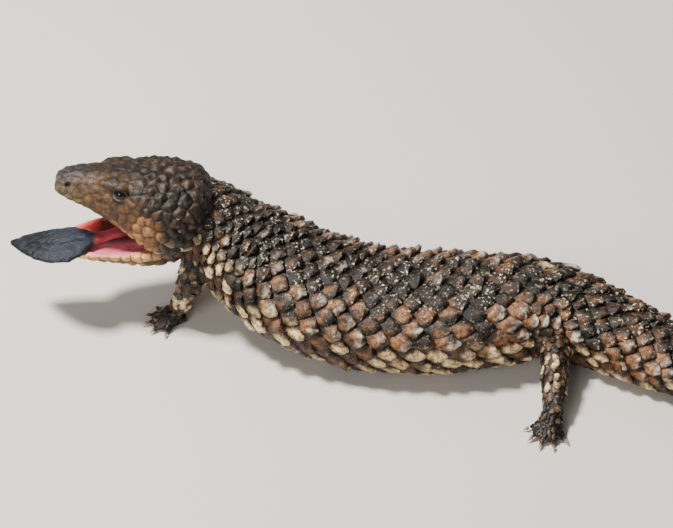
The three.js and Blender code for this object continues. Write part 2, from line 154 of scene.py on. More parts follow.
class Bench:
    """Small jobs on meshes, each with everything else deselected."""

    @staticmethod
    def pick(*objects: bpy.types.Object) -> None:
        """Selects these objects alone and makes the first one active."""
        bpy.ops.object.select_all(action="DESELECT")
        for each in objects:
            each.select_set(True)
        bpy.context.view_layer.objects.active = objects[0]

    @staticmethod
    def link(name: str, data: bpy.types.ID) -> bpy.types.Object:
        """Adds an object with this data to the scene."""
        made = bpy.data.objects.new(name, data)
        bpy.context.scene.collection.objects.link(made)
        return made

    @staticmethod
    def edit(target: bpy.types.Object, step: Callable, **settings: object) -> None:
        """Runs one step of edit mode, with its settings, on all of a mesh."""
        Bench.pick(target)
        bpy.ops.object.mode_set(mode="EDIT")
        bpy.ops.mesh.select_all(action="SELECT")
        step(**settings)
        bpy.ops.object.mode_set(mode="OBJECT")

    @staticmethod
    def start(name: str, add: Callable, **settings: object) -> bpy.types.Object:
        """Adds a simple shape under a name."""
        bpy.ops.object.select_all(action="DESELECT")
        add(**settings)
        made = bpy.context.active_object
        made.name = made.data.name = name
        return made

    @staticmethod
    def copy_nodes(name: str, nodes: tuple[str, ...]) -> bpy.types.Object:
        """Copies solids into one mesh, with the loose triangles of each merged first.

        Args:
            name: Name of the new object.
            nodes: Names of the solids.

        Returns:
            The new object.
        """
        copies = []
        for node in nodes:
            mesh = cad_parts[node].data.copy()
            mesh.materials.clear()
            made = Bench.link(name, mesh)
            Bench.edit(made, bpy.ops.mesh.remove_doubles, threshold=0.02 * MM)
            copies.append(made)
        Bench.pick(*copies)
        if len(copies) > 1:
            bpy.ops.object.join()
        joined = bpy.context.view_layer.objects.active
        joined.name = name
        return joined

    @staticmethod
    def finish_modifier(target: bpy.types.Object, kind: str, **settings: object) -> None:
        """Adds a modifier of one kind with these settings and applies it."""
        made = target.modifiers.new(kind.title(), kind)
        for key, value in settings.items():
            setattr(made, key, value)
        Bench.pick(target)
        bpy.ops.object.modifier_apply(modifier=made.name)

    @staticmethod
    def fuse(target: bpy.types.Object, grow: float, voxel: float, rounds: int) -> None:
        """Makes overlapping or nearly touching shells one smooth surface.

        Args:
            target: The mesh.
            grow: How far the shells swell first, to close the gaps between them.
            voxel: Size of the grid that the surface is rebuilt on.
            rounds: Rounds of smoothing.
        """
        Bench.finish_modifier(target, "DISPLACE", strength=grow, mid_level=0.0)
        Bench.finish_modifier(target, "REMESH", mode="VOXEL", voxel_size=voxel, use_smooth_shade=True)
        Bench.finish_modifier(target, "SMOOTH", factor=0.5, iterations=rounds)

    @staticmethod
    def read(target: bpy.types.Object, what: str) -> Array:
        """One property of a mesh's vertices as rows of X, Y and Z."""
        values = np.empty(len(target.data.vertices) * 3)
        target.data.vertices.foreach_get(what, values)
        return values.reshape(-1, 3)

    @staticmethod
    def points(target: bpy.types.Object) -> Array:
        """The vertices of a mesh as rows of X, Y and Z."""
        return Bench.read(target, "co")

    @staticmethod
    def normals(target: bpy.types.Object) -> Array:
        """The vertex normals of a mesh as rows of X, Y and Z."""
        return Bench.read(target, "normal")

    @staticmethod
    def set_points(target: bpy.types.Object, places: Array) -> None:
        """Moves the vertices of a mesh to these places."""
        target.data.vertices.foreach_set("co", places.ravel())
        target.data.update()

    @staticmethod
    def soften(target: bpy.types.Object, values: Array, rounds: int) -> Array:
        """Evens out values over a mesh.

        Args:
            target: The mesh.
            values: One number for each vertex.
            rounds: How often each vertex takes the mean of its neighbours and itself.

        Returns:
            The evened values.
        """
        ends = np.empty(len(target.data.edges) * 2, dtype=np.int64)
        target.data.edges.foreach_get("vertices", ends)
        first, second = ends.reshape(-1, 2).T
        count = len(values)
        near = np.bincount(first, minlength=count) + np.bincount(second, minlength=count) + 1.0
        for _ in range(rounds):
            total = values + np.bincount(first, values[second], count)
            total += np.bincount(second, values[first], count)
            values = total / near
        return values

    @staticmethod
    def paint(target: bpy.types.Object, name: str, values: Array) -> None:
        """Stores a colour or a number for each vertex as an attribute.

        Args:
            target: The mesh.
            name: The attribute's name.
            values: Rows of three for a colour, or one number for each vertex.
        """
        if values.ndim == 2:
            layer = target.data.attributes.new(name, "FLOAT_COLOR", "POINT")
            full = np.concatenate((values, np.ones((len(values), 1))), axis=1)
            layer.data.foreach_set("color", np.clip(full, 0.0, 1.0).ravel())
        else:
            layer = target.data.attributes.new(name, "FLOAT", "POINT")
            layer.data.foreach_set("value", values.ravel())

    @staticmethod
    def face_out(target: bpy.types.Object) -> None:
        """Turns the faces of a closed shell outwards."""
        Bench.edit(target, bpy.ops.mesh.normals_make_consistent, inside=False)

    @staticmethod
    def round_off(target: bpy.types.Object, degrees: float) -> None:
        """Shades a mesh smooth, apart from edges sharper than an angle."""
        Bench.pick(target)
        bpy.ops.object.shade_smooth_by_angle(angle=math.radians(degrees))

    @staticmethod
    def dress(target: bpy.types.Object, material: bpy.types.Material, slot: Slot) -> None:
        """Gives a piece its finish and its body."""
        target.data.materials.clear()
        target.data.materials.append(material)
        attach(target, "root")


class Value:
    """A socket in a material's graph. An expression on values adds the nodes that work it out."""

    def __init__(self, graph: "Graph", socket: bpy.types.NodeSocket) -> None:
        """Wraps a socket of a graph."""
        self.graph = graph
        self.socket = socket

    def work(self, operation: str, first: object, second: object) -> "Value":
        """Adds a Math node for an operation on two values or numbers."""
        settings = {"operation": operation}
        return self.graph.node("ShaderNodeMath", settings, {0: first, 1: second})

    def __add__(self, other: object) -> "Value":
        """This value plus another."""
        return self.work("ADD", self, other)

    def __radd__(self, other: object) -> "Value":
        """Another value plus this one."""
        return self.work("ADD", other, self)

    def __sub__(self, other: object) -> "Value":
        """This value less another."""
        return self.work("SUBTRACT", self, other)

    def __rsub__(self, other: object) -> "Value":
        """Another value less this one."""
        return self.work("SUBTRACT", other, self)

    def __mul__(self, other: object) -> "Value":
        """This value times another."""
        return self.work("MULTIPLY", self, other)

    def rise(self, low: float, high: float) -> "Value":
        """0 below low, 1 above high and a soft rise between them."""
        settings = {"interpolation_type": "SMOOTHSTEP"}
        return self.graph.node("ShaderNodeMapRange", settings, {0: self, 1: low, 2: high})


class Graph:
    """The nodes of one material."""

    def __init__(self, name: str) -> None:
        """Starts a material with a Principled shader."""
        self.material = bpy.data.materials.new(name)
        self.material.use_nodes = True
        self.tree = self.material.node_tree
        self.shader = self.tree.nodes["Principled BSDF"]

    def node(self, kind: str, settings: dict, inputs: dict, output: int | str = 0) -> Value:
        """Adds a node.

        Args:
            kind: The node's type.
            settings: Its properties, set first.
            inputs: Numbers, colours or values for its sockets, by index or name.
            output: The socket to hand back.

        Returns:
            The wrapped output.
        """
        made = self.tree.nodes.new(kind)
        for key, setting in settings.items():
            setattr(made, key, setting)
        for key, given in inputs.items():
            self.feed(made.inputs[key], given)
        return Value(self, made.outputs[output])

    def feed(self, socket: bpy.types.NodeSocket, given: object) -> None:
        """Links a value to a socket, or sets a number or a colour on it."""
        if isinstance(given, Value):
            self.tree.links.new(given.socket, socket)
        elif isinstance(given, (tuple, Array)):
            size = len(socket.default_value)
            socket.default_value = (*(float(part) for part in given), 1.0)[:size]
        else:
            socket.default_value = given

    def place(self) -> Value:
        """Places on the object, in metres."""
        return self.node("ShaderNodeTexCoord", {}, {}, "Object")

    def number(self, name: str) -> Value:
        """An attribute of numbers."""
        return self.node("ShaderNodeAttribute", {"attribute_name": name}, {}, "Fac")

    def colour(self, name: str) -> Value:
        """An attribute of colours."""
        return self.node("ShaderNodeAttribute", {"attribute_name": name}, {}, "Color")

    def noise(self, size: float, detail: float = 3.0, roughness: float = 0.55) -> Value:
        """Noise from 0 to 1 with lumps of about that size, in metres."""
        sockets = {"Vector": self.place(), "Scale": 1.0 / size, "Detail": detail, "Roughness": roughness}
        return self.node("ShaderNodeTexNoise", {}, sockets, "Fac")

    def cells(self, size: float) -> Value:
        """Distance to the nearest of many points that lie about size apart."""
        sockets = {"Vector": self.place(), "Scale": 1.0 / size}
        return self.node("ShaderNodeTexVoronoi", {}, sockets, "Distance")

    def mix(self, share: object, first: object, second: object, kind: str = "MIX") -> Value:
        """A colour between two others, or another blend of them."""
        settings = {"data_type": "RGBA", "blend_type": kind}
        return self.node("ShaderNodeMix", settings, {0: share, 6: first, 7: second}, 2)

    def bump(self, height: Value, depth: float, strength: float = 1.0, under: Value | None = None) -> Value:
        """A normal that shows a height.

        Args:
            height: The height, 0 to 1.
            depth: How deep the relief is, in metres.
            strength: How much of it shows.
            under: Another bumped normal to lay it on.

        Returns:
            The normal.
        """
        sockets = {"Strength": strength, "Distance": depth, "Height": height}
        if under is not None:
            sockets["Normal"] = under
        return self.node("ShaderNodeBump", {}, sockets)

    def set(self, **sockets: object) -> bpy.types.Material:
        """Sets or links the shader's sockets, named with _ for a space, and hands back the material."""
        for key, given in sockets.items():
            self.feed(self.shader.inputs[key.replace("_", " ")], given)
        return self.material


@dataclass(frozen=True)
class HornFinish:
    """Rough horn with a dull polish, as on the scales of back, tail and legs.

    polish is the least roughness. The others are the widths of the pattern's lumps and its relief.
    """

    name: str
    grain: float = 0.5 * MM
    relief: float = 0.16 * MM
    mottle: float = 2.2 * MM
    polish: float = 0.22
    speckle: float = 1.7 * MM
    knob: float = 1.2 * MM

    def build(self) -> bpy.types.Material:
        """The material."""
        graph = Graph(self.name)
        tint = graph.colour("tint")
        coarse = graph.noise(self.mottle, 4.0, 0.6)
        fine = graph.noise(self.grain, 3.0)
        knobs = graph.noise(self.knob, 4.0, 0.65)
        dark = graph.mix(coarse.rise(0.44, 0.58) * 0.8, tint, (0.24, 0.2, 0.17), "MULTIPLY")
        # Raised knobs painted paler: wear, and painted highlight on the tops of the bumped relief.
        wear_and_highlight = graph.mix(knobs.rise(0.58, 0.72) * 0.12, dark, shade(170, 148, 122))
        pale = graph.mix(fine.rise(0.62, 0.75) * 0.1, wear_and_highlight, shade(196, 180, 156))
        # White specks: partly pale flecks, partly painted glints, strongest where the speck attribute is
        # high.
        specks = graph.noise(self.speckle, 4.0, 0.7).rise(0.59, 0.625) * graph.number("speck")
        light = graph.mix(specks, pale, shade(228, 214, 190))
        normal = graph.bump(knobs, self.relief * 3.6, 1.0)
        normal = graph.bump(fine, self.relief * 1.2, 0.9, normal)
        rough = self.polish + coarse * 0.2
        return graph.set(Base_Color=light, Roughness=rough, Normal=normal, Specular_IOR_Level=0.28)


@dataclass(frozen=True)
class HideFinish:
    """The skin and the shields of the head: horn outside, and wet lining where the attribute wet says so."""

    name: str
    relief: float = 0.15 * MM

    def build(self) -> bpy.types.Material:
        """The material."""
        graph = Graph(self.name)
        tint = graph.colour("tint")
        wet = graph.number("wet")
        coarse = graph.noise(2.4 * MM, 4.0, 0.6)
        fine = graph.noise(0.55 * MM, 3.0)
        dry = 1.0 - wet
        dark = graph.mix(coarse.rise(0.42, 0.6) * dry * 0.6, tint, (0.4, 0.36, 0.33), "MULTIPLY")
        flush = graph.mix(coarse.rise(0.45, 0.7) * wet * 0.35, dark, shade(176, 42, 44))
        light = graph.mix(fine.rise(0.60, 0.75) * dry * 0.12, flush, shade(176, 150, 116))
        normal = graph.bump(graph.noise(1.2 * MM, 4.0, 0.6), self.relief * 3.0, 0.9)
        normal = graph.bump(fine, self.relief, 0.7, normal)
        rough = 0.4 + coarse * 0.16 - wet * 0.26
        return graph.set(
            Base_Color=light, Roughness=rough, Normal=normal, Coat_Weight=wet * 0.4, Specular_IOR_Level=0.36
        )


@dataclass(frozen=True)
class TongueFinish:
    """Moist tongue, slate blue and set with fine low papillae."""

    name: str

    def build(self) -> bpy.types.Material:
        """The material."""
        graph = Graph(self.name)
        tint = graph.colour("tint")
        coarse = graph.noise(2.6 * MM, 4.0, 0.62)
        knobs = graph.cells(0.75 * MM)
        pale = graph.mix(coarse.rise(0.42, 0.68) * 0.36, tint, shade(84, 104, 134), "SCREEN")
        deep = graph.mix(knobs.rise(0.2, 0.6) * 0.35, tint, (0.35, 0.38, 0.45), "MULTIPLY")
        both = graph.mix(coarse.rise(0.4, 0.75) * 0.45, deep, pale)
        normal = graph.bump(1.0 - knobs, 0.3 * MM, 0.8)
        rough = 0.4 + coarse * 0.24
        return graph.set(Base_Color=both, Roughness=rough, Normal=normal, Specular_IOR_Level=0.24)


@dataclass(frozen=True)
class EyeFinish:
    """A moist eye: dark brown iris round a black pupil, with a brown-grey rim.

    pupil and iris are the angles from the eye's own axis, in degrees, at which each one ends.
    """

    name: str
    pupil: float = 22.0
    iris: float = 46.0

    def build(self) -> bpy.types.Material:
        """The material."""
        graph = Graph(self.name)
        polar = graph.number("polar")
        fibres = graph.noise(0.35 * MM, 4.0)
        ring = graph.mix(fibres, shade(26, 18, 14), shade(12, 9, 8))
        inner = graph.mix(polar.rise(self.pupil - 1.5, self.pupil + 1.5), shade(6, 5, 5), ring)
        outer = graph.mix(polar.rise(self.iris - 3.0, self.iris + 3.0), inner, shade(30, 25, 22))
        return graph.set(Base_Color=outer, Roughness=0.08, Specular_IOR_Level=0.35)


@dataclass(frozen=True)
class ClawFinish:
    """Horn of a claw, brown at the root and paler and rubbed at the tip."""

    name: str

    def build(self) -> bpy.types.Material:
        """The material."""
        graph = Graph(self.name)
        streaks = graph.noise(0.6 * MM, 3.0)
        tip = graph.number("tip")
        root = graph.mix(streaks, shade(70, 52, 40), shade(118, 92, 70))
        horn = graph.mix(tip.rise(0.15, 0.9), root, shade(186, 164, 130))
        normal = graph.bump(streaks, 0.08 * MM, 0.6)
        return graph.set(Base_Color=horn, Roughness=0.36, Normal=normal, Coat_Weight=0.15)


@dataclass(frozen=True)
class BackdropFinish:
    """Plain matt backdrop."""

    name: str
    colour: Triple = (0.6, 0.585, 0.56)

    def build(self) -> bpy.types.Material:
        """The material."""
        return Graph(self.name).set(Base_Color=self.colour, Roughness=0.9)


@dataclass(frozen=True)
class Frames:
    """The leaning frames of head and lower jaw: x back from the snout, y to the animal's right, z up.

    place and hinge are in millimetres, and the turns in degrees.
    """

    place: Triple = (-170.0, 32.0, 77.0)
    pitch: float = 10.0
    roll: float = -12.0
    hinge: Triple = (57.0, 0.0, -18.0)
    gape: float = 15.0
    jaw_roll: float = 9.0

    def head(self) -> Matrix:
        """From head millimetres to the frame of the solids in millimetres."""
        turn = Matrix.Rotation(math.radians(self.pitch), 4, "Y")
        return Matrix.Translation(self.place) @ turn @ Matrix.Rotation(math.radians(self.roll), 4, "X")

    def jaw(self) -> Matrix:
        """The same for the lower jaw, swung open about its hinge."""
        swing = Matrix.Rotation(math.radians(-self.gape), 4, "Y")
        swing = swing @ Matrix.Rotation(math.radians(self.jaw_roll), 4, "X")
        back = Matrix.Translation((-self.hinge[0], 0.0, 0.0))
        return self.head() @ Matrix.Translation(self.hinge) @ swing @ back

    @staticmethod
    def into(matrix: Matrix, points: Array) -> Array:
        """Places in metres seen from a leaning frame, in millimetres."""
        back = np.array(matrix.inverted())
        return points / MM @ back[:3, :3].T + back[:3, 3]

    @staticmethod
    def out_of(matrix: Matrix, points: Array) -> Array:
        """Places in a leaning frame, in millimetres, as places in metres."""
        on = np.array(matrix)
        return (points @ on[:3, :3].T + on[:3, 3]) * MM


@dataclass
class Flesh:
    """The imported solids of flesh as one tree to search, with the solid that each face belongs to."""

    nodes: tuple[str, ...] = FLESH_NODES
    owners: list[str] = field(default_factory=list)

    def __post_init__(self) -> None:
        """Builds the tree."""
        corners: list[Vector] = []
        faces: list[tuple[int, ...]] = []
        for node in self.nodes:
            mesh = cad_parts[node].data
            start = len(corners)
            corners.extend(vertex.co.copy() for vertex in mesh.vertices)
            faces.extend(tuple(start + corner for corner in face.vertices) for face in mesh.polygons)
            self.owners.extend([node] * len(mesh.polygons))
        self.tree = BVHTree.FromPolygons(corners, faces)

    def owner(self, points: Array) -> Array:
        """The name of the nearest solid for each place."""
        return np.array([self.owners[self.tree.find_nearest(point)[2]] for point in points.tolist()])


class Markings:
    """The animal's colours, shared by skin, scales and shields.

    hip, shin and knee are the places of three pale blotches, in millimetres.
    """

    black = shade(18, 15, 14)
    slate = shade(32, 26, 21)
    umber = shade(52, 37, 26)
    rose = shade(156, 108, 72)
    rust = shade(118, 72, 36)
    cream = shade(232, 206, 156)
    white = shade(226, 220, 208)
    tan = shade(112, 76, 40)
    olive = shade(92, 76, 44)
    steel = shade(45, 42, 43)
    peach = shade(206, 156, 104)
    red = shade(214, 62, 56)
    pink = shade(238, 142, 162)
    # Dark maroon, used as painted shade in the back of the mouth and the throat.
    maroon = shade(82, 18, 18)
    blue = shade(40, 47, 60)
    ochre = shade(126, 76, 40)
    sand = shade(182, 132, 82)
    ash = shade(88, 80, 70)
    honey = shade(170, 122, 72)
    # Grey-tan for painted highlights, with wear, on raised shields and knobs.
    wear_and_highlight = shade(128, 102, 74)
    bone = shade(170, 148, 112)
    hip = (75.2, 17.0, 41.0)
    shin = (-109.0, 10.0, 25.0)
    knee = (72.0, -36.5, 23.0)

    @staticmethod
    def round_spot(points: Array, middle: tuple, outer: float, inner: float) -> Array:
        """1 within inner of a middle and 0 beyond outer, all in millimetres."""
        return ramp(outer * MM, inner * MM, np.linalg.norm(points - np.array(middle) * MM, axis=-1))

    def ground(self, points: Array) -> Array:
        """The dull colour of the skin between the scales."""
        share = ramp(-0.5, 0.6, wrinkle(points, 6.0, 3))
        return blend(self.black, self.umber * 0.6, share)

    def back(
        self, points: Array, share: Array, height: Array, along: Array, edge: Array, luck: Array
    ) -> Array:
        """Colours on the scales of neck, trunk and tail, with painted shade at scale fronts and underneath.

        Args:
            points: Places of the scales' vertices.
            share: Share of the charted length, from the back of the head to the tail's tip.
            height: 1 on the spine, 0 on the side and -1 under the belly.
            along: 0 at a scale's front and 1 at its free rear edge.
            edge: 0 in the middle of a scale and 1 at its side edges.
            luck: Three random numbers for each scale, last.

        Returns:
            A colour for each vertex.
        """
        patch = patches(points, 28.0, 5)
        blotch = patches(points, 3.4, 6)
        grain = patches(points, 1.5, 7)
        shoulder = ramp(0.36, 0.17, share)
        flank = ramp(0.96, 0.62, height)
        first, second, third = np.moveaxis(luck, -1, 0)
        warmth = -0.06 + 0.46 * flank + 0.6 * (patch - 0.45) - 0.34 * shoulder + 0.8 * (first - 0.5)
        warmth = warmth + 1.2 * (blotch - 0.5) + 0.7 * (grain - 0.5)
        dull = blend(self.umber, self.slate, second)
        light = 0.55 + 0.46 * flank - 0.16 * shoulder
        colour = blend(dull, self.rose, np.clip(warmth, 0.0, 1.0)) * light[..., None]
        low = ramp(0.4, -0.2, height)
        warm = low * (0.35 + 0.8 * second + 0.5 * (blotch - 0.5))
        colour = blend(colour, self.rust * 0.8, np.clip(warm, 0.0, 0.9))
        dark = ramp(0.66, 0.88, along) * (0.35 + 0.6 * second)
        dark = np.maximum(dark, ramp(0.42, 0.85, edge + 0.3 * (grain - 0.5)) * 0.95)
        # Painted shade where a scale's front slips under the rear edge of the scale ahead of it.
        dark = np.maximum(dark, ramp(0.5, 0.22, along))
        dark = dark + 0.75 * ramp(0.46, 0.3, blotch) + 0.5 * ramp(0.3, 0.1, first)
        dark = np.clip(dark, 0.0, 1.0)
        # Painted shade on the underside, darker towards the belly.
        dark = np.clip(dark + 0.6 * ramp(-0.2, -0.45, height), 0.0, 1.0)
        colour = blend(colour, blend(self.black, self.slate * 0.5, first), dark * (1.0 - 0.1 * low))
        spot = ramp(0.62, 0.84, along) * ramp(0.6, 0.1, np.abs(edge - 0.3 * first))
        fleck = spot * ramp(0.52, 0.7, blotch * 0.5 + grain * 0.5 + 0.16 * third)
        colour = blend(colour, self.white, fleck * 0.4 * (second < 0.18))
        top = 0.04 + 0.26 * shoulder * ramp(0.05, 0.13, share)
        band = ramp(-0.9, -0.7, height) * ramp(top + 0.22, top, height)
        pale = np.clip(band * ramp(0.42, 0.48, third) + (height < -0.7) * (third > 0.45), 0.0, 1.0)
        whole = pale * ramp(0.58, 0.3, edge + 0.3 * (grain - 0.5))
        whole = whole * ramp(0.46, 0.6, along + 0.3 * (blotch - 0.5))
        dot = ramp(0.6, 0.76, along) * ramp(0.34, 0.08, np.abs(edge - 0.5 * second))
        dot = dot * (first > 0.72) * ramp(0.85, 0.55, height)
        colour = blend(colour, blend(self.white, self.cream, low), dot * ramp(0.4, 0.6, grain) * 0.8)
        stained = blend(self.cream, self.rust * 1.7, ramp(0.45, 0.95, grain) * 0.5)
        colour = blend(colour, stained, whole)
        hip = self.round_spot(points, self.hip, 6.0, 4.0)
        return blend(colour, self.cream * 0.85, hip * ramp(0.4, 0.6, grain + 0.3 * along))

    def leg(self, points: Array, along: Array, edge: Array, luck: Array) -> Array:
        """Colours on the scales of the legs, with the same meaning of the arguments as in back."""
        patch = patches(points, 7.0, 8)
        grain = patches(points, 1.2, 9)
        warmth = patch * 0.8 + luck[..., 0] * 0.6 + 0.5 * (grain - 0.5) - 0.65
        colour = blend(self.umber, self.rose * 0.85, np.clip(warmth, 0.0, 1.0))
        heart = ramp(0.3, 0.55, along) * ramp(0.7, 0.25, edge) * (luck[..., 2] > 0.35)
        colour = blend(colour, self.bone, heart * ramp(0.35, 0.75, grain) * 0.6)
        dark = np.maximum(ramp(0.78, 0.98, along) * 0.8, ramp(0.45, 0.9, edge) * 0.9)
        dark = np.maximum(dark, (luck[..., 1] < 0.36) * 0.75)
        toes = ramp(15.0 * MM, 8.0 * MM, points[..., 2])
        colour = blend(colour, self.black, np.clip(dark + toes * 0.45, 0.0, 1.0))
        bright = patch * 0.6 + luck[..., 2] * 0.8 + 0.3 * self.round_spot(points, self.shin, 13.0, 9.0)
        spots = ramp(1.06, 1.1, bright) * (1.0 - 0.85 * toes)
        colour = blend(colour, self.cream * 0.92, spots * ramp(0.9, 0.5, edge))
        knee = self.round_spot(points, self.knee, 4.4, 3.4)
        return blend(colour, self.cream, knee * ramp(0.9, 0.6, edge))


@dataclass
class Skin:
    """The one skin over all the flesh, sunk by the depth of the coat."""

    voxel: float = 1.25 * MM
    grow: float = 0.3 * MM
    rounds: int = 6
    shallow: float = 0.9 * MM
    depths: dict[str, float] = field(
        default_factory=lambda: {
            "foot": 0.5, "leg": 1.1, "head": 1.6, "lower_jaw": 1.4, "neck": 2.2, "tail_tip": 2.0, "body": 3.0
        }
    )

    def depth_of(self, node: str) -> float:
        """How deep the skin lies under a solid's surface, in metres."""
        kind = node.split("_")[-1] if node in LIMB_NODES else node
        return self.depths.get(kind, self.depths["body"]) * MM

    def build(self, flesh: Flesh, markings: Markings) -> bpy.types.Object:
        """Makes the skin.

        Args:
            flesh: The solids to search.
            markings: The colours.

        Returns:
            The skin, which replaces every solid of flesh.
        """
        skin = Bench.copy_nodes("skin", FLESH_NODES)
        Bench.fuse(skin, self.grow, self.voxel, self.rounds)
        places = Bench.points(skin)
        owners = flesh.owner(places)
        depth = np.array([self.depth_of(owner) for owner in owners]) + self.grow
        under = ramp(6.0 * MM, 1.0 * MM, places[:, 2])
        depth = depth * (1.0 - under) + np.minimum(depth, self.shallow) * under
        depth = Bench.soften(skin, depth, 8)
        Bench.set_points(skin, places - Bench.normals(skin) * depth[:, None])
        Bench.finish_modifier(skin, "SMOOTH", factor=0.5, iterations=2)
        Bench.paint(skin, "tint", markings.ground(Bench.points(skin)))
        Bench.paint(skin, "wet", np.zeros(len(places)))
        Bench.dress(skin, HideFinish("skin").build(), Slot.BACK)
        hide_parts(*FLESH_NODES)
        return skin


@dataclass
class ScaleForm:
    """One horny scale, modelled once: a shell with a raised rear edge, in its own unit space.

    In its unit space x runs from 0 at the front to 1 at the free rear edge, y from -1 to 1 across, and z is
    the height over the skin. Its highest ridge runs across at the share peak of its length. The patch
    numbers share out its bake patch between the top, the walls and the underside.
    """

    name: str
    cuts: int = 7
    front: float = 0.55
    widest: float = 0.5
    tip: float = 0.42
    keel: float = 0.24
    crown: float = 0.62
    lift: float = 0.12
    peak: float = 0.86
    climb: float = 1.35
    droop: float = 0.26
    inset: float = 0.86
    root: float = 0.25
    patch_top: float = 0.36
    patch_wall: float = 0.42
    patch_corner: float = 0.465
    patch_under: float = 0.02

    def half_width(self, along: Array) -> Array:
        """Half the width at a share of the length."""
        ahead = self.front + (1.0 - self.front) * np.sin(np.clip(along / self.widest, 0.0, 1.0) * math.pi / 2)
        share = np.clip((along - self.widest) / (1.0 - self.widest), 0.0, 1.0)
        behind = self.tip + (1.0 - self.tip) * np.sqrt(np.clip(1.0 - share**2.6, 0.0, 1.0))
        return np.where(along < self.widest, ahead, behind)

    def build(self) -> "ScaleForm":
        """Models the scale and keeps its vertices, faces and bake patch."""
        add = bpy.ops.mesh.primitive_grid_add
        made = Bench.start(self.name, add, x_subdivisions=self.cuts, y_subdivisions=self.cuts, size=2.0)
        Bench.edit(made, bpy.ops.mesh.extrude_region_move, TRANSFORM_OT_translate={"value": (0.0, 0.0, 1.0)})
        for face in made.data.polygons:
            face.select = face.center.z < 0.01
        bpy.ops.object.mode_set(mode="EDIT")
        bpy.ops.mesh.select_mode(type="FACE")
        bpy.ops.mesh.dissolve_faces()
        bpy.ops.object.mode_set(mode="OBJECT")
        Bench.face_out(made)
        raw = Bench.points(made)
        top = raw[:, 2] > 0.5
        along = (raw[:, 0] + 1.0) / 2.0
        across = raw[:, 1]
        rounded = along - 0.10 * across**2 * ramp(0.3, 1.0, along) + 0.05 * across**2 * (1.0 - along)
        width = self.half_width(np.clip(along, 0.0, 1.0))
        height = self.lift + (1.0 - self.lift) * np.clip(along / self.peak, 0.0, 1.0) ** self.climb
        height = height - self.droop * ramp(self.peak + 0.02, 1.0, along)
        height = height * (1.0 - self.crown * np.abs(across) ** 2.2)
        height = height + self.keel * (1.0 - np.abs(across)) ** 2 * ramp(0.2, 0.8, along)
        sunk = np.where(top, 1.0, self.inset)
        self.along = rounded
        self.edge = np.abs(across)
        height = np.where(top, height, -self.root)
        self.unit = np.stack((0.5 + (rounded - 0.5) * sunk, across * width * sunk, height), axis=-1)
        self.top = top
        self.faces = [tuple(face.vertices) for face in made.data.polygons]
        self.patch = self._patch(made)
        mesh = made.data
        bpy.data.objects.remove(made)
        bpy.data.meshes.remove(mesh)
        return self

    def _patch(self, made: bpy.types.Object) -> Array:
        """The place of each face corner on the bake patch, which spans -0.5 to 0.5.

        The top fills the middle, the walls fold out round it, and the underside has a small corner.
        """
        corners = []
        raw = Bench.points(made)
        for face in made.data.polygons:
            for x, y, z in raw[list(face.vertices)]:
                if face.normal.z < -0.5:
                    shift, reach = self.patch_corner, self.patch_under
                else:
                    shift, reach = 0.0, self.patch_top if z > 0.5 else self.patch_wall
                corners.append((shift + x * reach, shift + y * reach))
        return np.array(corners)


@dataclass
class Coat:
    """Many scales of one form as one mesh."""

    name: str
    form: ScaleForm
    crease: float = 48.0

    def build(
        self, places: Array, colours: Array, specks: Array, cells: Array, size: Array
    ) -> bpy.types.Object:
        """Joins placed copies of the scale.

        Args:
            places: Vertices of each scale, in metres.
            colours: A colour for each of those vertices.
            specks: How much pale fleck and painted glint each of them takes, 0 to 1.
            cells: Centre of each scale's bake patch.
            size: Width and height of a bake patch.

        Returns:
            The mesh, with the map OFBake.
        """
        count, points = places.shape[:2]
        starts = range(0, count * points, points)
        mesh = bpy.data.meshes.new(self.name)
        faces = [tuple(start + corner for corner in face) for start in starts for face in self.form.faces]
        mesh.from_pydata(places.reshape(-1, 3).tolist(), [], faces)
        made = Bench.link(self.name, mesh)
        layer = mesh.uv_layers.new(name="OFBake")
        spots = cells[:, None, :] + self.form.patch[None, :, :] * size
        layer.data.foreach_set("uv", spots.ravel())
        Bench.paint(made, "tint", colours.reshape(-1, 3))
        Bench.paint(made, "speck", specks.reshape(-1))
        Bench.round_off(made, self.crease)
        return made


@dataclass(frozen=True)
class Stretch:
    """A length of the body where the scales keep one number of rows round it.

    start and end are shares of the body's length. pitch is how far apart the rings of scales are at the
    start, and pitch_end at the end, in millimetres.
    """

    start: float
    end: float
    rows: int
    pitch: float
    pitch_end: float


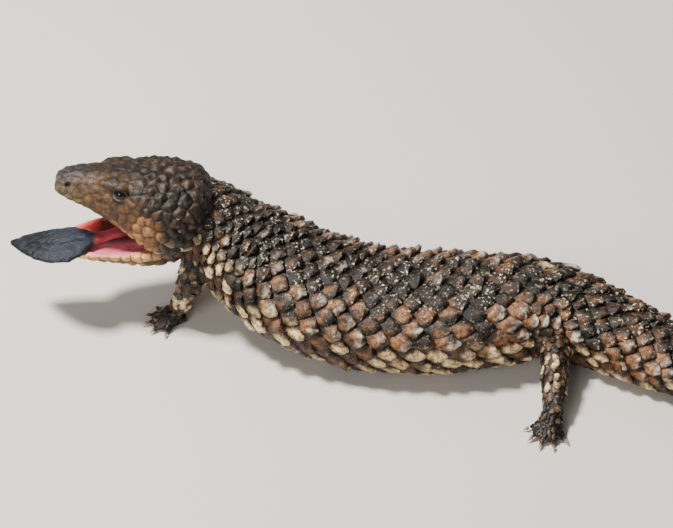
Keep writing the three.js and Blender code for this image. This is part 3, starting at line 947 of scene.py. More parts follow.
@dataclass
class Hull:
    """The rounded surface of neck, trunk and tail, charted by share of length and of the way round.

    The way round starts on the spine and runs down the side that faces the camera, under the belly and
    up the far side.
    """

    axis: tuple[Triple, ...] = (
        (-120.0, 32.6, 66.5),
        (-107.0, 32.5, 59.4),
        (-99.0, 32.0, 54.5),
        (-91.0, 30.5, 48.5),
        (-83.0, 27.5, 42.4),
        (-70.0, 21.5, 35.0),
        (-50.0, 12.0, 28.0),
        (-25.0, 4.5, 23.0),
        (0.0, 1.0, 22.0),
        (25.0, 0.0, 22.0),
        (50.0, 2.5, 21.5),
        (66.0, 4.5, 20.5),
        (81.0, 2.5, 19.0),
        (100.0, -7.0, 17.0),
        (118.0, -17.5, 15.5),
        (133.0, -26.5, 14.0),
        (145.0, -34.0, 12.0),
        (154.0, -39.5, 9.5),
        (160.4, -43.2, 7.4),
    )
    rings: int = 260
    turns: int = 160
    grow: float = 0.3 * MM

    def __post_init__(self) -> None:
        """Charts the surface by casting rays out from the axis."""
        line = self._curve(np.array(self.axis) * MM)
        steps = np.linalg.norm(np.diff(line, axis=0), axis=1)
        self.length = float(steps.sum())
        ways = np.gradient(line, axis=0)
        ways /= np.linalg.norm(ways, axis=1)[:, None]
        side = np.cross(ways, (0.0, 0.0, 1.0))
        side /= np.linalg.norm(side, axis=1)[:, None]
        up = np.cross(side, ways)
        form = Bench.copy_nodes("form", ("head", *BODY_NODES))
        Bench.fuse(form, self.grow, 1.4 * MM, 4)
        tree = BVHTree.FromObject(form, bpy.context.evaluated_depsgraph_get())
        bpy.data.objects.remove(form)
        angle = np.linspace(0.0, 2.0 * math.pi, self.turns, endpoint=False)
        reach = np.empty((self.rings, self.turns))
        for ring in range(self.rings):
            rays = up[ring] * np.cos(angle)[:, None] + side[ring] * np.sin(angle)[:, None]
            origin = Vector(line[ring])
            for turn in range(self.turns):
                hit = tree.ray_cast(origin, Vector(rays[turn]), 60.0 * MM)
                reach[ring, turn] = max((hit[3] or 0.0) - self.grow, 0.0)
        reach = self._even(reach)
        rays = up[:, None, :] * np.cos(angle)[None, :, None] + side[:, None, :] * np.sin(angle)[None, :, None]
        surface = line[:, None, :] + rays * reach[..., None]
        surface[..., 2] = np.maximum(surface[..., 2], 0.0)
        self.surface, self.height = self._by_distance(surface, np.cos(angle))
        self.outward = self._normals(self.surface)

    def _curve(self, stations: Array) -> Array:
        """Even points along a smooth curve through the stations."""
        gaps = np.linalg.norm(np.diff(stations, axis=0), axis=1)
        knots = np.concatenate(((0.0,), np.cumsum(gaps)))
        slopes = np.gradient(stations, knots, axis=0)
        wanted = np.linspace(0.0, knots[-1], self.rings)
        index = np.clip(np.searchsorted(knots, wanted, side="right") - 1, 0, len(gaps) - 1)
        gap = gaps[index][:, None]
        part = ((wanted - knots[index]) / gaps[index])[:, None]
        first, second = stations[index], stations[index + 1]
        rise, fall = slopes[index] * gap, slopes[index + 1] * gap
        return (
            first * (2 * part**3 - 3 * part**2 + 1)
            + rise * (part**3 - 2 * part**2 + part)
            + second * (3 * part**2 - 2 * part**3)
            + fall * (part**3 - part**2)
        )

    @staticmethod
    def _even(reach: Array) -> Array:
        """Takes the facets out of the charted distances."""
        middle = np.maximum(np.median(reach, axis=1, keepdims=True), 1.0 * MM)
        reach = np.where(reach < 1.0 * MM, middle, reach)
        for _ in range(4):
            reach = (np.roll(reach, 1, 1) + reach * 2.0 + np.roll(reach, -1, 1)) / 4.0
            inner = (reach[:-2] + reach[1:-1] * 2.0 + reach[2:]) / 4.0
            reach = np.concatenate((reach[:1], inner, reach[-1:]))
        return reach

    def _by_distance(self, surface: Array, height: Array) -> tuple[Array, Array]:
        """Spaces each ring's points evenly round it, and hands back how high each one lies from -1 to 1."""
        even = np.empty_like(surface)
        heights = np.empty(surface.shape[:2])
        wanted = np.linspace(0.0, 1.0, self.turns, endpoint=False)
        for ring, row in enumerate(surface):
            closed = np.concatenate((row, row[:1]))
            run = np.concatenate(((0.0,), np.cumsum(np.linalg.norm(np.diff(closed, axis=0), axis=1))))
            run /= run[-1]
            for part in range(3):
                even[ring, :, part] = np.interp(wanted, run, closed[:, part])
            heights[ring] = np.interp(wanted, run, np.concatenate((height, height[:1])))
        return even, heights

    @staticmethod
    def _normals(surface: Array) -> Array:
        """Outward directions of the charted surface."""
        on = np.gradient(surface, axis=0)
        round_ = np.roll(surface, -1, 1) - np.roll(surface, 1, 1)
        outward = np.cross(round_, on)
        return outward / np.maximum(np.linalg.norm(outward, axis=-1, keepdims=True), 1e-12)

    def look(self, grid: Array, share: Array, around: Array) -> Array:
        """Reads a chart between its points.

        Args:
            grid: The chart, such as surface or outward.
            share: Share of the length for each place.
            around: Share of the way round for each place.

        Returns:
            The chart's values there.
        """
        ring = np.clip(share, 0.0, 1.0) * (self.rings - 1)
        low = np.minimum(np.floor(ring).astype(int), self.rings - 2)
        up = ring - low
        turn = (around % 1.0) * self.turns
        left = np.floor(turn).astype(int)
        part = turn - left
        left = left % self.turns
        right = (left + 1) % self.turns
        if grid.ndim == 3:
            up, part = up[..., None], part[..., None]
        near = grid[low, left] * (1.0 - part) + grid[low, right] * part
        far = grid[low + 1, left] * (1.0 - part) + grid[low + 1, right] * part
        return near * (1.0 - up) + far * up


@dataclass
class BodyScales:
    """The shingles of neck, trunk and tail, in staggered rows that run the length of the body.

    anchor is the share of a scale's length that sits on its place in the lattice. depth and its kin are
    the coat's thickness in millimetres, and nape is where the head's shields take over, in millimetres
    behind the snout.
    """

    hull: Hull
    form: ScaleForm
    markings: Markings
    frames: Frames
    overlap: float = 1.42
    widen: float = 0.93
    anchor: float = 0.62
    stagger: float = 0.24
    smallest: float = 0.9
    spread: float = 0.2
    lean: float = 0.3
    swell: float = 1.14
    depth: float = 3.3
    neck_less: float = 1.1
    tail_less: float = 0.7
    belly_depth: float = 0.8
    closing: float = 6.0 * MM
    buried: float = 2.4 * MM
    nape: float = 58.0
    back_wider: float = 0.019
    stretches: dict[str, tuple[Stretch, ...]] = field(
        default_factory=lambda: {
            "neck_scales": (Stretch(0.018, 0.172, 26, 6.4, 9.0),),
            "trunk_scales": (Stretch(0.172, 0.714, 28, 9.6, 10.8),),
            "tail_scales": (
                Stretch(0.714, 0.829, 24, 10.4, 9.8),
                Stretch(0.829, 0.929, 18, 9.6, 8.0),
                Stretch(0.929, 1.0, 12, 7.0, 4.6),
            ),
        }
    )

    def row_place(self, row: Array, rows: Array) -> Array:
        """Share of the way round at which a row runs, with wider rows on the back than on the belly."""
        even = row / rows
        return even + self.back_wider * np.sin(2.0 * math.pi * even)

    def lattice(self, stretch: Stretch, order: int) -> Array:
        """Where the scales of a stretch sit.

        Args:
            stretch: The length of the body.
            order: Which length of the piece it is.

        Returns:
            For each scale its share of length, row, pitch as a share of length, rows, and ring.
        """
        found = []
        share = stretch.start
        index = 0
        while share < stretch.end:
            part = (share - stretch.start) / (stretch.end - stretch.start)
            pitch = (stretch.pitch + (stretch.pitch_end - stretch.pitch) * part) * MM / self.hull.length
            for row in range(stretch.rows):
                middle = share + (pitch / 2 if row % 2 else 0.0)
                found.append((middle, row, pitch, stretch.rows, index + 100.0 * order))
            share += pitch
            index += 1
        return np.array(found)

    def build(self, skin: BVHTree) -> list[bpy.types.Object]:
        """Makes the coat of each length of the body.

        Args:
            skin: The skin, to leave out scales that lie inside a leg or the head.

        Returns:
            The pieces.
        """
        named = enumerate(self.stretches.items())
        return [self._piece(name, stretches, skin, seed) for seed, (name, stretches) in named]

    def _piece(self, name: str, stretches: tuple[Stretch, ...], skin: BVHTree, seed: int) -> bpy.types.Object:
        """Lays one piece's scales and joins them."""
        spots = np.concatenate([self.lattice(stretch, order) for order, stretch in enumerate(stretches)])
        share, row, pitch, rows, rings = spots.T
        count, draw = len(spots), seed * 10
        luck = chances(count, draw)
        share = share + (chance(count, draw + 5) - 0.5) * pitch * self.stagger
        around = self.row_place(row, rows)
        gap = (self.row_place(row + 1, rows) - self.row_place(row - 1, rows)) / 2.0
        unit = self.form.unit
        lie = (unit[:, 0] - self.anchor) * self.overlap
        length = self.smallest + self.spread * chance(count, draw + 6)
        along = share[:, None] + lie[None, :] * (pitch * length)[:, None]
        tilt = (chance(count, draw + 7) - 0.5) * self.lean
        sideways = unit[None, :, 1] + lie[None, :] * tilt[:, None]
        across = around[:, None] - sideways * (gap * self.widen)[:, None]
        charts = (self.hull.surface, self.hull.outward, self.hull.height)
        base, out, height = (self.hull.look(chart, along, across) for chart in charts)
        beyond = np.maximum(along - 1.0, 0.0)
        centre = self.hull.look(self.hull.surface, np.ones_like(along), across).mean(axis=1, keepdims=True)
        base = base + (centre - base) * np.clip(beyond * self.hull.length / self.closing, 0.0, 1.0)[..., None]
        depth = self._depth(along, height)
        rise = unit[None, :, 2] * (0.72 + 0.5 * luck[:, None, 0]) * depth * self.swell
        bumps = lumps(base, (2.6, 0.55, 11), (1.3, 0.26, 12)) * MM * self.form.top
        rise = rise + bumps * np.clip(depth / (2.0 * MM), 0.3, 1.0)
        places = base + out * (rise - depth)[..., None]
        places[..., 2] = np.maximum(places[..., 2], FLOOR_GAP)
        middles = places.mean(axis=1)
        keep = self._outside(middles, skin) & (Frames.into(self.frames.head(), middles)[:, 0] > self.nape)
        flat = (self.form.along, self.form.edge, share[:, None])
        shape, edge, length_share = (np.broadcast_to(values, along.shape) for values in flat)
        each = np.broadcast_to(luck[:, None, :], (*along.shape, 3))
        colours = self.markings.back(base, length_share, height, shape, edge, each)
        cells, size = self._cells(rings, row, rows)
        # Pale flecks and painted glints, weighted to the scales' rear and to the top of the back.
        specks = ramp(0.3, 0.7, shape) * (0.35 + 0.65 * ramp(0.3, 0.8, height))
        specks = specks * (0.35 + 0.65 * ramp(0.2, 0.8, each[..., 2]))
        piece = Coat(name, self.form).build(places[keep], colours[keep], specks[keep], cells[keep], size)
        Bench.dress(piece, HornFinish(name).build(), Slot.BACK)
        return piece

    def _depth(self, share: Array, height: Array) -> Array:
        """How thick the coat is, in metres."""
        full = self.depth - self.neck_less * ramp(0.2, 0.06, share)
        full = full - self.tail_less * ramp(0.8, 1.0, share)
        belly = ramp(-0.1, -0.7, height)
        return (full * (1.0 - belly) + self.belly_depth * belly) * MM

    def _outside(self, middles: Array, skin: BVHTree) -> Array:
        """Which scales aren't buried in a leg or the head."""
        keep = []
        for middle in middles.tolist():
            place, normal, _, _ = skin.find_nearest(middle)
            keep.append((Vector(middle) - place).dot(normal) > -self.buried)
        return np.array(keep)

    @staticmethod
    def _cells(rings: Array, row: Array, rows: Array) -> tuple[Array, Array]:
        """Centres and size of the bake patches, by place along and round the body."""
        order = np.unique(rings, return_inverse=True)[1]
        most = order.max() + 1
        wide = rows.max()
        cells = np.stack(((order + 0.5) / most, (row + 0.5) / wide), axis=-1)
        return cells, np.array((PATCH_SHARE / most, PATCH_SHARE / wide))


@dataclass(frozen=True)
class LimbLine:
    """The line down the middle of one leg, in millimetres, and where its toes point.

    heading is the foot's turn from the way to the snout, in degrees, and side is -1 for a left leg and 1
    for a right one. toes gives for each toe its turn from there and its share of the length toe. The
    sizes are those of the scales.
    """

    name: str
    joints: tuple[Triple, ...]
    heading: float
    side: int
    toe: float
    leg_sizes: tuple[float, float] = (3.9, 3.5)
    foot_size: float = 2.6
    toe_size: float = 2.1
    sole: float = 6.0
    palm: float = 4.5
    toe_height: float = 3.4
    toes: tuple[tuple[float, float], ...] = (
        (-62.0, 0.8),
        (-31.0, 1.05),
        (-4.0, 1.2),
        (24.0, 1.1),
        (58.0, 0.85),
    )

    @staticmethod
    def way(degrees: float) -> Array:
        """A level direction, turned from the way to the snout."""
        turn = math.radians(degrees)
        return np.array((-math.cos(turn), -math.sin(turn), 0.0))

    def segments(self) -> list[tuple[Array, Array, float]]:
        """Lengths of the leg as start, end and the size of the scales there, in metres."""
        joints = np.array(self.joints) * MM
        found = [(joints[part], joints[part + 1], size * MM) for part, size in enumerate(self.leg_sizes)]
        forward = self.way(self.heading)
        ankle = joints[2]
        found.append((ankle, ankle + forward * self.sole * MM, self.foot_size * MM))
        for spread, share in self.toes:
            way = self.way(self.heading - self.side * spread)
            root = ankle + (forward * self.palm + way * self.palm) * MM
            root[2] = self.toe_height * MM
            tip = root + way * self.toe * share * MM
            found.append((root, tip + way * 1.5 * MM, self.toe_size * MM))
        return found


@dataclass
class LegScales:
    """The small scales of legs and feet, scattered evenly and pointing to the toes."""

    form: ScaleForm
    markings: Markings
    packing: float = 0.43
    length: float = 1.3
    width: float = 0.6
    rise: float = 0.32
    lines: tuple[LimbLine, ...] = (
        LimbLine("front_left", ((-99, 16, 43), (-106, 9, 27), (-112, 15, 8.5)), 20.0, -1, 5.5),
        LimbLine("front_right", ((-92, 46, 43), (-93, 57, 27), (-96, 54, 8.5)), -10.0, 1, 5.5),
        LimbLine("hind_left", ((78, -9, 18), (74.5, -31, 17.5), (72.5, -56, 8)), 68.0, -1, 5.2),
        LimbLine("hind_right", ((78, 14, 18), (66, 33, 17.5), (59, 42, 8)), -10.0, 1, 6.0),
    )

    def build(self, skin: bpy.types.Object, owners: Array) -> list[bpy.types.Object]:
        """Makes one coat for each leg.

        Args:
            skin: The skin that the scales grow on.
            owners: The solid that each of its vertices belongs to.

        Returns:
            The pieces.
        """
        places, normals = Bench.points(skin), Bench.normals(skin)
        return [self._leg(line, places, normals, owners, seed) for seed, line in enumerate(self.lines)]

    def _leg(
        self, line: LimbLine, places: Array, normals: Array, owners: Array, seed: int
    ) -> bpy.types.Object:
        """Scatters the scales of one leg."""
        mine = np.array([owner.startswith(line.name) for owner in owners])
        points, ups = places[mine], normals[mine]
        above = points[:, 2] > 0.4 * MM
        points, ups = points[above], ups[above]
        nearest = np.full(len(points), np.inf)
        ways = np.zeros_like(points)
        sizes = np.zeros(len(points))
        run = np.zeros(len(points))
        walked = 0.0
        for start, end, size in line.segments():
            way = end - start
            length = np.linalg.norm(way)
            share = np.clip(((points - start) @ way) / length**2, 0.0, 1.0)
            distance = np.linalg.norm(points - start - share[:, None] * way, axis=1)
            closer = distance < nearest
            nearest = np.where(closer, distance, nearest)
            ways[closer] = way / length
            sizes[closer] = size
            run[closer] = walked + share[closer] * length
            walked += length
        chosen = self._scatter(points, sizes, seed)
        roots = (part[chosen] for part in (points, ups, ways, sizes, run))
        return self._lay(line.name, seed, *roots)

    def _scatter(self, points: Array, sizes: Array, seed: int) -> Array:
        """Picks points at least their own size apart, trying them in a shuffled order."""
        order = np.random.default_rng(40 + seed).permutation(len(points))
        taken: list[int] = []
        places = np.empty((0, 3))
        reach = np.empty(0)
        for index in order.tolist():
            gap = np.linalg.norm(places - points[index], axis=1)
            if np.all(gap > (reach + sizes[index]) * self.packing):
                taken.append(index)
                places = points[taken]
                reach = sizes[taken]
        return np.array(taken)

    def _lay(
        self, name: str, seed: int, roots: Array, ups: Array, ways: Array, sizes: Array, run: Array
    ) -> bpy.types.Object:
        """Places a scale at each root and joins them.

        Args:
            name: The leg.
            seed: Picks its random numbers.
            roots: Where the scales grow.
            ups: The directions out of the skin there.
            ways: The directions to the toes.
            sizes: The scales' sizes.
            run: How far down the leg each one is.

        Returns:
            The piece.
        """
        ahead = ways - ups * np.sum(ways * ups, axis=1)[:, None]
        ahead /= np.maximum(np.linalg.norm(ahead, axis=1)[:, None], 1e-9)
        side = np.cross(ups, ahead)
        luck = chances(len(roots), 60 + seed * 10)
        length = sizes * (self.length + 0.2 * luck[:, 0])
        width = sizes * self.width
        rise = sizes * (self.rise + 0.1 * luck[:, 1])
        sides = np.stack((length, width, rise), axis=-1)
        local = (self.form.unit - np.array((0.5, 0.0, 0.0))) * sides[:, None, :]
        bend = local[..., 1] ** 2 / np.maximum(sizes[:, None] * 2.6, 4.0 * MM)
        local[..., 2] -= bend
        places = roots[:, None, :] + local @ np.stack((ahead, side, ups), axis=1)
        bumps = lumps(places, (1.0, 0.09, 14)) * MM * self.form.top
        places = places + ups[:, None, :] * bumps[..., None]
        places[..., 2] = np.maximum(places[..., 2], FLOOR_GAP)
        shape, edge = (np.broadcast_to(part, bend.shape) for part in (self.form.along, self.form.edge))
        each = np.broadcast_to(luck[:, None, :], (*bend.shape, 3))
        colours = self.markings.leg(places, shape, edge, each)
        cells, size = self._cells(run, np.arctan2(side[:, 2], ups[:, 2]))
        # A light share of pale flecks and painted glints at the scales' rear.
        specks = 0.3 * ramp(0.3, 0.7, shape)
        piece = Coat(f"{name}_scales", self.form).build(places, colours, specks, cells, size)
        Bench.dress(piece, HornFinish(f"{name}_scales", relief=0.1 * MM).build(), Slot.LEG)
        return piece

    @staticmethod
    def _cells(run: Array, turn: Array) -> tuple[Array, Array]:
        """Centres and size of the bake patches, in rows down the leg that are ordered round it."""
        wide = math.ceil(math.sqrt(len(run)))
        order = np.argsort(run, kind="stable")
        cells = np.empty((len(run), 2))
        for row in range(math.ceil(len(run) / wide)):
            members = order[row * wide : (row + 1) * wide]
            members = members[np.argsort(turn[members], kind="stable")]
            cells[members, 0] = (np.arange(len(members)) + 0.5) / wide
            cells[members, 1] = (row + 0.5) / wide
        return cells, np.full(2, PATCH_SHARE / wide)


@dataclass(frozen=True)
class HeadView:
    """A shell's vertices in metres, and in the frames of head and jaw in millimetres.

    is_jaw says which of them belong to the lower jaw.
    """

    places: Array
    head: Array
    jaw: Array
    is_jaw: Array

    def near(self, place: Triple) -> Array:
        """Distance to a place or its mirror image on the other side of the head, in millimetres."""
        mirrored = np.stack((self.head[:, 0], np.abs(self.head[:, 1]), self.head[:, 2]), axis=-1)
        return np.linalg.norm(mirrored - np.array(place), axis=1)


@dataclass
class HeadShields:
    """The knobbly shields of head and lower jaw, a fitted shell over the skin, with the mouth's lining.

    The tables are in millimetres, in the frames of head and jaw, and start with the distance behind the
    snout. rows gives half the head's width and the height of its lip, jaw_rows the same for the lower
    jaw, and palate the middle height, half width, rise and drop of the hollow of the upper jaw.
    """

    frames: Frames
    markings: Markings
    voxel: float = 0.62 * MM
    grow: float = 0.25 * MM
    sunk: float = 0.95
    rows: tuple[Triple, ...] = (
        (2.0, 7.2, -3.0),
        (7.0, 9.6, -4.2),
        (15.0, 12.2, -6.0),
        (24.0, 15.2, -9.4),
        (33.0, 18.4, -13.8),
        (42.0, 22.0, -18.4),
        (50.0, 24.4, -21.6),
        (58.0, 25.2, -23.0),
    )
    jaw_rows: tuple[Triple, ...] = (
        (6.0, 6.0, 0.0),
        (8.5, 10.2, 0.0),
        (14.0, 13.6, 0.0),
        (22.0, 16.0, 0.0),
        (32.0, 18.2, 0.0),
        (42.0, 19.8, 0.5),
        (52.0, 21.0, 1.5),
    )
    palate: tuple[tuple[float, float, float, float, float], ...] = (
        (4.5, -4.0, 4.0, 1.2, 6.0),
        (8.0, -4.6, 6.6, 2.6, 7.0),
        (16.0, -6.6, 9.4, 4.2, 9.0),
        (25.0, -10.0, 12.4, 5.6, 10.0),
        (34.0, -14.6, 15.6, 7.4, 10.0),
        (43.0, -19.2, 18.4, 9.0, 10.0),
        (51.0, -22.6, 17.5, 9.4, 10.0),
        (60.0, -23.6, 12.0, 8.0, 8.0),
    )
    palate_start: float = 3.6
    palate_end: float = 64.0
    palate_wall: float = 0.9
    bowl_middle: Triple = (37.0, 0.0, 1.6)
    bowl_size: Triple = (31.0, 17.5, 7.6)
    bowl_floor: float = -6.0
    ear: Triple = (62.0, 26.5, -3.0)
    nostril: Triple = (6.6, 8.6, 4.6)
    nostril_depth: float = 1.6
    midline: tuple[float, ...] = (1.5, 14.0, 23.5, 36.0, 47.0, 57.0, 67.0)
    eye_shields: int = 13
    groove: float = 1.15
    dome: float = 0.78
    crest: float = 0.42

    def build(self, flesh: Flesh) -> bpy.types.Object:
        """Makes the shields.

        Args:
            flesh: The solids to search.

        Returns:
            The piece.
        """
        made = Bench.copy_nodes("head_shields", ("head", "lower_jaw"))
        Bench.fuse(made, self.grow, self.voxel, 5)
        places, normals = Bench.points(made), Bench.normals(made)
        head, jaw = (Frames.into(matrix, places) for matrix in (self.frames.head(), self.frames.jaw()))
        view = HeadView(places, head, jaw, flesh.owner(places) == "lower_jaw")
        lining = Bench.soften(made, self._lining(view), 2)
        sites, lips = self._sites(view, lining)
        height, plate, rim = self._pillows(places, sites)
        calm = ramp(4.6, 7.4, view.near(EYE_PLACE))
        outer = ramp(0.75, 0.15, lining)
        knob = 0.7 + 1.2 * ramp(28.0, 52.0, head[:, 0])
        lift = height * outer * (0.3 + 0.7 * calm) * knob * np.where(view.is_jaw, 0.8, 1.0)
        nose = ramp(1.7, 0.6, view.near(self.nostril))
        rough = lumps(places, (2.2, 0.26, 21), (1.1, 0.1, 22))
        offset = lift - self.sunk * (0.35 + 0.65 * outer) + rough * outer * knob - nose * self.nostril_depth
        Bench.set_points(made, places + normals * (offset * MM)[:, None])
        Bench.finish_modifier(made, "SMOOTH", factor=0.35, iterations=1)
        wet = ramp(0.3, 0.7, lining)
        colours = blend(self._colours(view, plate, rim, lips), self._mouth(view), wet)
        # Nostrils and ear openings painted black: painted shade in the holes.
        openings = np.maximum(nose, ramp(3.6, 2.0, view.near(self.ear)))
        Bench.paint(made, "tint", blend(colours, self.markings.black, openings))
        Bench.paint(made, "wet", wet)
        Bench.dress(made, HideFinish("head_shields").build(), Slot.HEAD)
        made.data.uv_layers.new(name="OFBake")
        Bench.edit(made, bpy.ops.uv.smart_project, angle_limit=math.radians(66.0), island_margin=0.002)
        return made

    def _lining(self, view: HeadView) -> Array:
        """1 where the surface is the mouth's lining, and 0 outside."""
        x, y, z = view.head.T
        middle, wide, rise, drop = stations(self.palate, x)
        tall = np.where(z > middle, rise, drop) + self.palate_wall
        inside = np.abs(y / (wide + self.palate_wall)) ** 2.4 + np.abs((z - middle) / tall) ** 2.4
        upper = (inside < 1.0) & (x > self.palate_start) & (x < self.palate_end)
        bowl = (((view.jaw - np.array(self.bowl_middle)) / np.array(self.bowl_size)) ** 2).sum(axis=1)
        lower = (bowl < 1.0) & (view.jaw[:, 2] > self.bowl_floor)
        return np.where(view.is_jaw, lower, upper).astype(float)

    @staticmethod
    def _tree(points: Array) -> KDTree:
        """A tree that finds the nearest of these points."""
        tree = KDTree(len(points))
        for index, point in enumerate(points.tolist()):
            tree.insert(point, index)
        tree.balance()
        return tree

    @staticmethod
    def _lip(along: Array, table: tuple, out: float, up: float) -> list[Triple]:
        """Places in a leaning frame of the shields along both sides of a lip.

        Args:
            along: How far behind the snout each one sits.
            table: Half widths and heights of the lip.
            out: How far out from the half width the places lie.
            up: How far over the lip's height.

        Returns:
            The places, left and right in turn.
        """
        found = []
        for x in along:
            wide, rise = stations(table, x)
            found.extend((x, sign * (wide + out), rise + up) for sign in (-1.0, 1.0))
        return found

    def _sites(self, view: HeadView, lining: Array) -> tuple[Array, Array]:
        """Middles of the shields.

        Returns:
            Their places in metres, and 1 for a lip shield or 0 for another.
        """
        tree = self._tree(view.places)
        head, jaw = self.frames.head(), self.frames.jaw()
        upper = self._lip(np.cumsum(np.full(12, 4.5)) - 1.5, self.rows, -0.4, 1.9)
        lower = self._lip(np.cumsum(np.full(9, 5.3)) + 5.2, self.jaw_rows, 0.2, -1.5)
        others = []
        for sign in (-1.0, 1.0):
            for angle in np.linspace(0.0, 2.0 * math.pi, self.eye_shields, endpoint=False):
                x, z = EYE_PLACE[0] + 7.4 * math.cos(angle), EYE_PLACE[2] + 6.2 * math.sin(angle)
                others.append((x, sign * 17.5, z))
        others.extend((x, 0.0, 20.0) for x in self.midline)
        wanted = [Frames.out_of(head, np.array(spot)) for spot in upper]
        wanted.extend(Frames.out_of(jaw, np.array(spot)) for spot in lower)
        lips = len(wanted)
        wanted.extend(Frames.out_of(head, np.array(spot)) for spot in others)
        held = np.array([view.places[tree.find(spot.tolist())[1]] for spot in wanted])
        gaps = self._spacing(view) * MM
        order = np.random.default_rng(77).permutation(np.flatnonzero(lining < 0.2))
        for index in order.tolist():
            place, gap = view.places[index], gaps[index]
            if np.min(np.linalg.norm(held - place, axis=1)) > gap:
                extra = [place]
                if not view.is_jaw[index]:
                    mirror = view.head[index] * np.array((1.0, -1.0, 1.0))
                    twin = view.places[tree.find(Frames.out_of(head, mirror).tolist())[1]]
                    if np.min(np.linalg.norm(np.vstack((held, place)) - twin, axis=1)) > gap * 0.8:
                        extra.append(twin)
                held = np.concatenate((held, np.array(extra)))
        return held, (np.arange(len(held)) < lips).astype(float)

    @staticmethod
    def _spacing(view: HeadView) -> Array:
        """How far apart the shields' middles are, in millimetres."""
        x, _, z = view.head.T
        top = ramp(6.0, 11.0, z)
        size = 3.6 + 1.0 * ramp(20.0, 60.0, x) + top * 1.7 * (1.0 - 0.5 * ramp(30.0, 46.0, x))
        size = size - 0.9 * ramp(9.0, 5.0, view.near(EYE_PLACE))
        size = size - 0.6 * ramp(8.0, 3.0, x)
        return np.where(view.is_jaw, 4.4 + 0.6 * ramp(20.0, 60.0, view.jaw[:, 0]), size)

    def _pillows(self, places: Array, sites: Array) -> tuple[Array, Array, Array]:
        """Domes between shallow grooves.

        Returns:
            For each vertex the height in millimetres, the index of its shield, and its distance to the
            shield's rim in millimetres.
        """
        tree = self._tree(sites)
        plate = np.empty(len(places), dtype=int)
        rim = np.empty(len(places))
        for row, place in enumerate(places.tolist()):
            (first, index, near), *others = tree.find_n(place, 4)
            plate[row] = index
            rim[row] = min((far**2 - near**2) / (2.0 * (other - first).length) for other, _, far in others)
        rim = np.clip(rim / MM, 0.0, 9.0)
        edge = np.clip(rim / self.groove, 0.0, 1.0)
        height = self.dome * np.sqrt(1.0 - (1.0 - edge) ** 2) + self.crest * ramp(0.4, 3.0, rim)
        return height, plate, rim

    def _colours(self, view: HeadView, plate: Array, rim: Array, lips: Array) -> Array:
        """Colours of the shields, with painted highlights on the domes of the crown.

        Args:
            view: The shell's vertices.
            plate: The index of the shield that each one belongs to.
            rim: Its distance to the shield's rim, in millimetres.
            lips: 1 for each shield of a lip, or 0.

        Returns:
            A colour for each vertex.
        """
        marks = self.markings
        x, y, z = view.head.T
        luck, other = (chance(len(lips), seed)[plate] for seed in (91, 92))
        lip = lips[plate]
        patch = patches(view.places, 7.0, 31)
        grain = patches(view.places, 1.8, 34)
        side = ramp(11.0, 5.0, z)
        earth = blend(marks.black, marks.umber * 1.1, 0.3 + 0.7 * luck)
        colour = blend(earth, marks.tan * 0.8, np.clip(0.1 + 0.5 * luck * patch, 0.0, 1.0))
        face = side * ramp(50.0, 38.0, x)
        colour = blend(colour, blend(marks.tan * 0.9, marks.umber, ramp(0.4, 0.8, grain)), face * 0.8)
        cheek = ramp(36.0, 42.0, x) * ramp(64.0, 56.0, x)
        cheek = cheek * ramp(3.0, -3.0, z)
        colour = blend(colour, blend(marks.ochre, marks.sand, other), cheek * 0.8)
        muzzle = ramp(25.0, 13.0, x) * ramp(8.0, 3.0, z)
        colour = blend(colour, marks.olive * 0.9, muzzle * 0.8)
        colour = blend(colour, marks.ash, 0.7 * ramp(11.0, 5.0, x))
        bridge = ramp(20.0, 13.0, x) * ramp(3.0, 7.0, z)
        colour = blend(colour, marks.steel, bridge * ramp(8.5, 6.0, np.abs(y)) * 0.85)
        rear = ramp(26.0, 36.0, x)
        colour = blend(colour, marks.olive * 1.3, lip * side * 0.5 * (1.0 - rear))
        colour = blend(colour, marks.honey, lip * side * 0.6 * rear)
        crown = np.maximum(ramp(24.0, 42.0, x) * ramp(5.0, 10.0, z), ramp(50.0, 58.0, x))
        crown = np.maximum(crown, 0.75 * ramp(11.0, 14.0, z) * ramp(12.0, 20.0, x))
        dusk = blend(marks.black, marks.umber, np.clip(luck * 1.2 + patch * 0.4 - 0.4, 0.0, 1.0))
        # Painted highlights: the middles of the crown's shields, away from their grooves, turn grey-tan.
        wear_and_highlight = ramp(0.55, 0.85, grain) * ramp(0.5, 1.4, rim)
        dusk = blend(dusk, marks.wear_and_highlight, wear_and_highlight * 0.4)
        colour = blend(colour, dusk * 0.75, crown * 0.95)
        colour = blend(colour, marks.black, 0.5 * ramp(0.45, 0.2, grain) * ramp(34.0, 46.0, x))
        below = ramp(50.0, 58.0, x) * ramp(-8.0, -16.0, z)
        colour = blend(colour, marks.cream * 0.6, below * (other > 0.72) * 0.6)
        back = view.jaw[:, 0]
        under = blend(marks.tan * 0.9, marks.peach * 0.7, luck)
        under = blend(under, marks.umber, ramp(46.0, 60.0, back) * 0.75)
        under = blend(under, marks.peach * 1.15, lip * (0.95 - 0.6 * ramp(46.0, 56.0, back)))
        colour = np.where(view.is_jaw[:, None], under, colour) * (0.66 + 0.6 * luck)[:, None]
        deep = np.where(view.is_jaw, 0.75, 0.5 + 0.4 * crown)
        return blend(colour, marks.umber * 0.35, ramp(0.75, 0.1, rim) * deep)

    def _mouth(self, view: HeadView) -> Array:
        """Colours of the mouth's lining: red above, pink below, with painted shade of maroon in the throat.
        """
        marks = self.markings
        patch = patches(view.places, 5.0, 33)
        upper = blend(marks.red, marks.pink, np.clip(patch * 0.6, 0.0, 1.0))
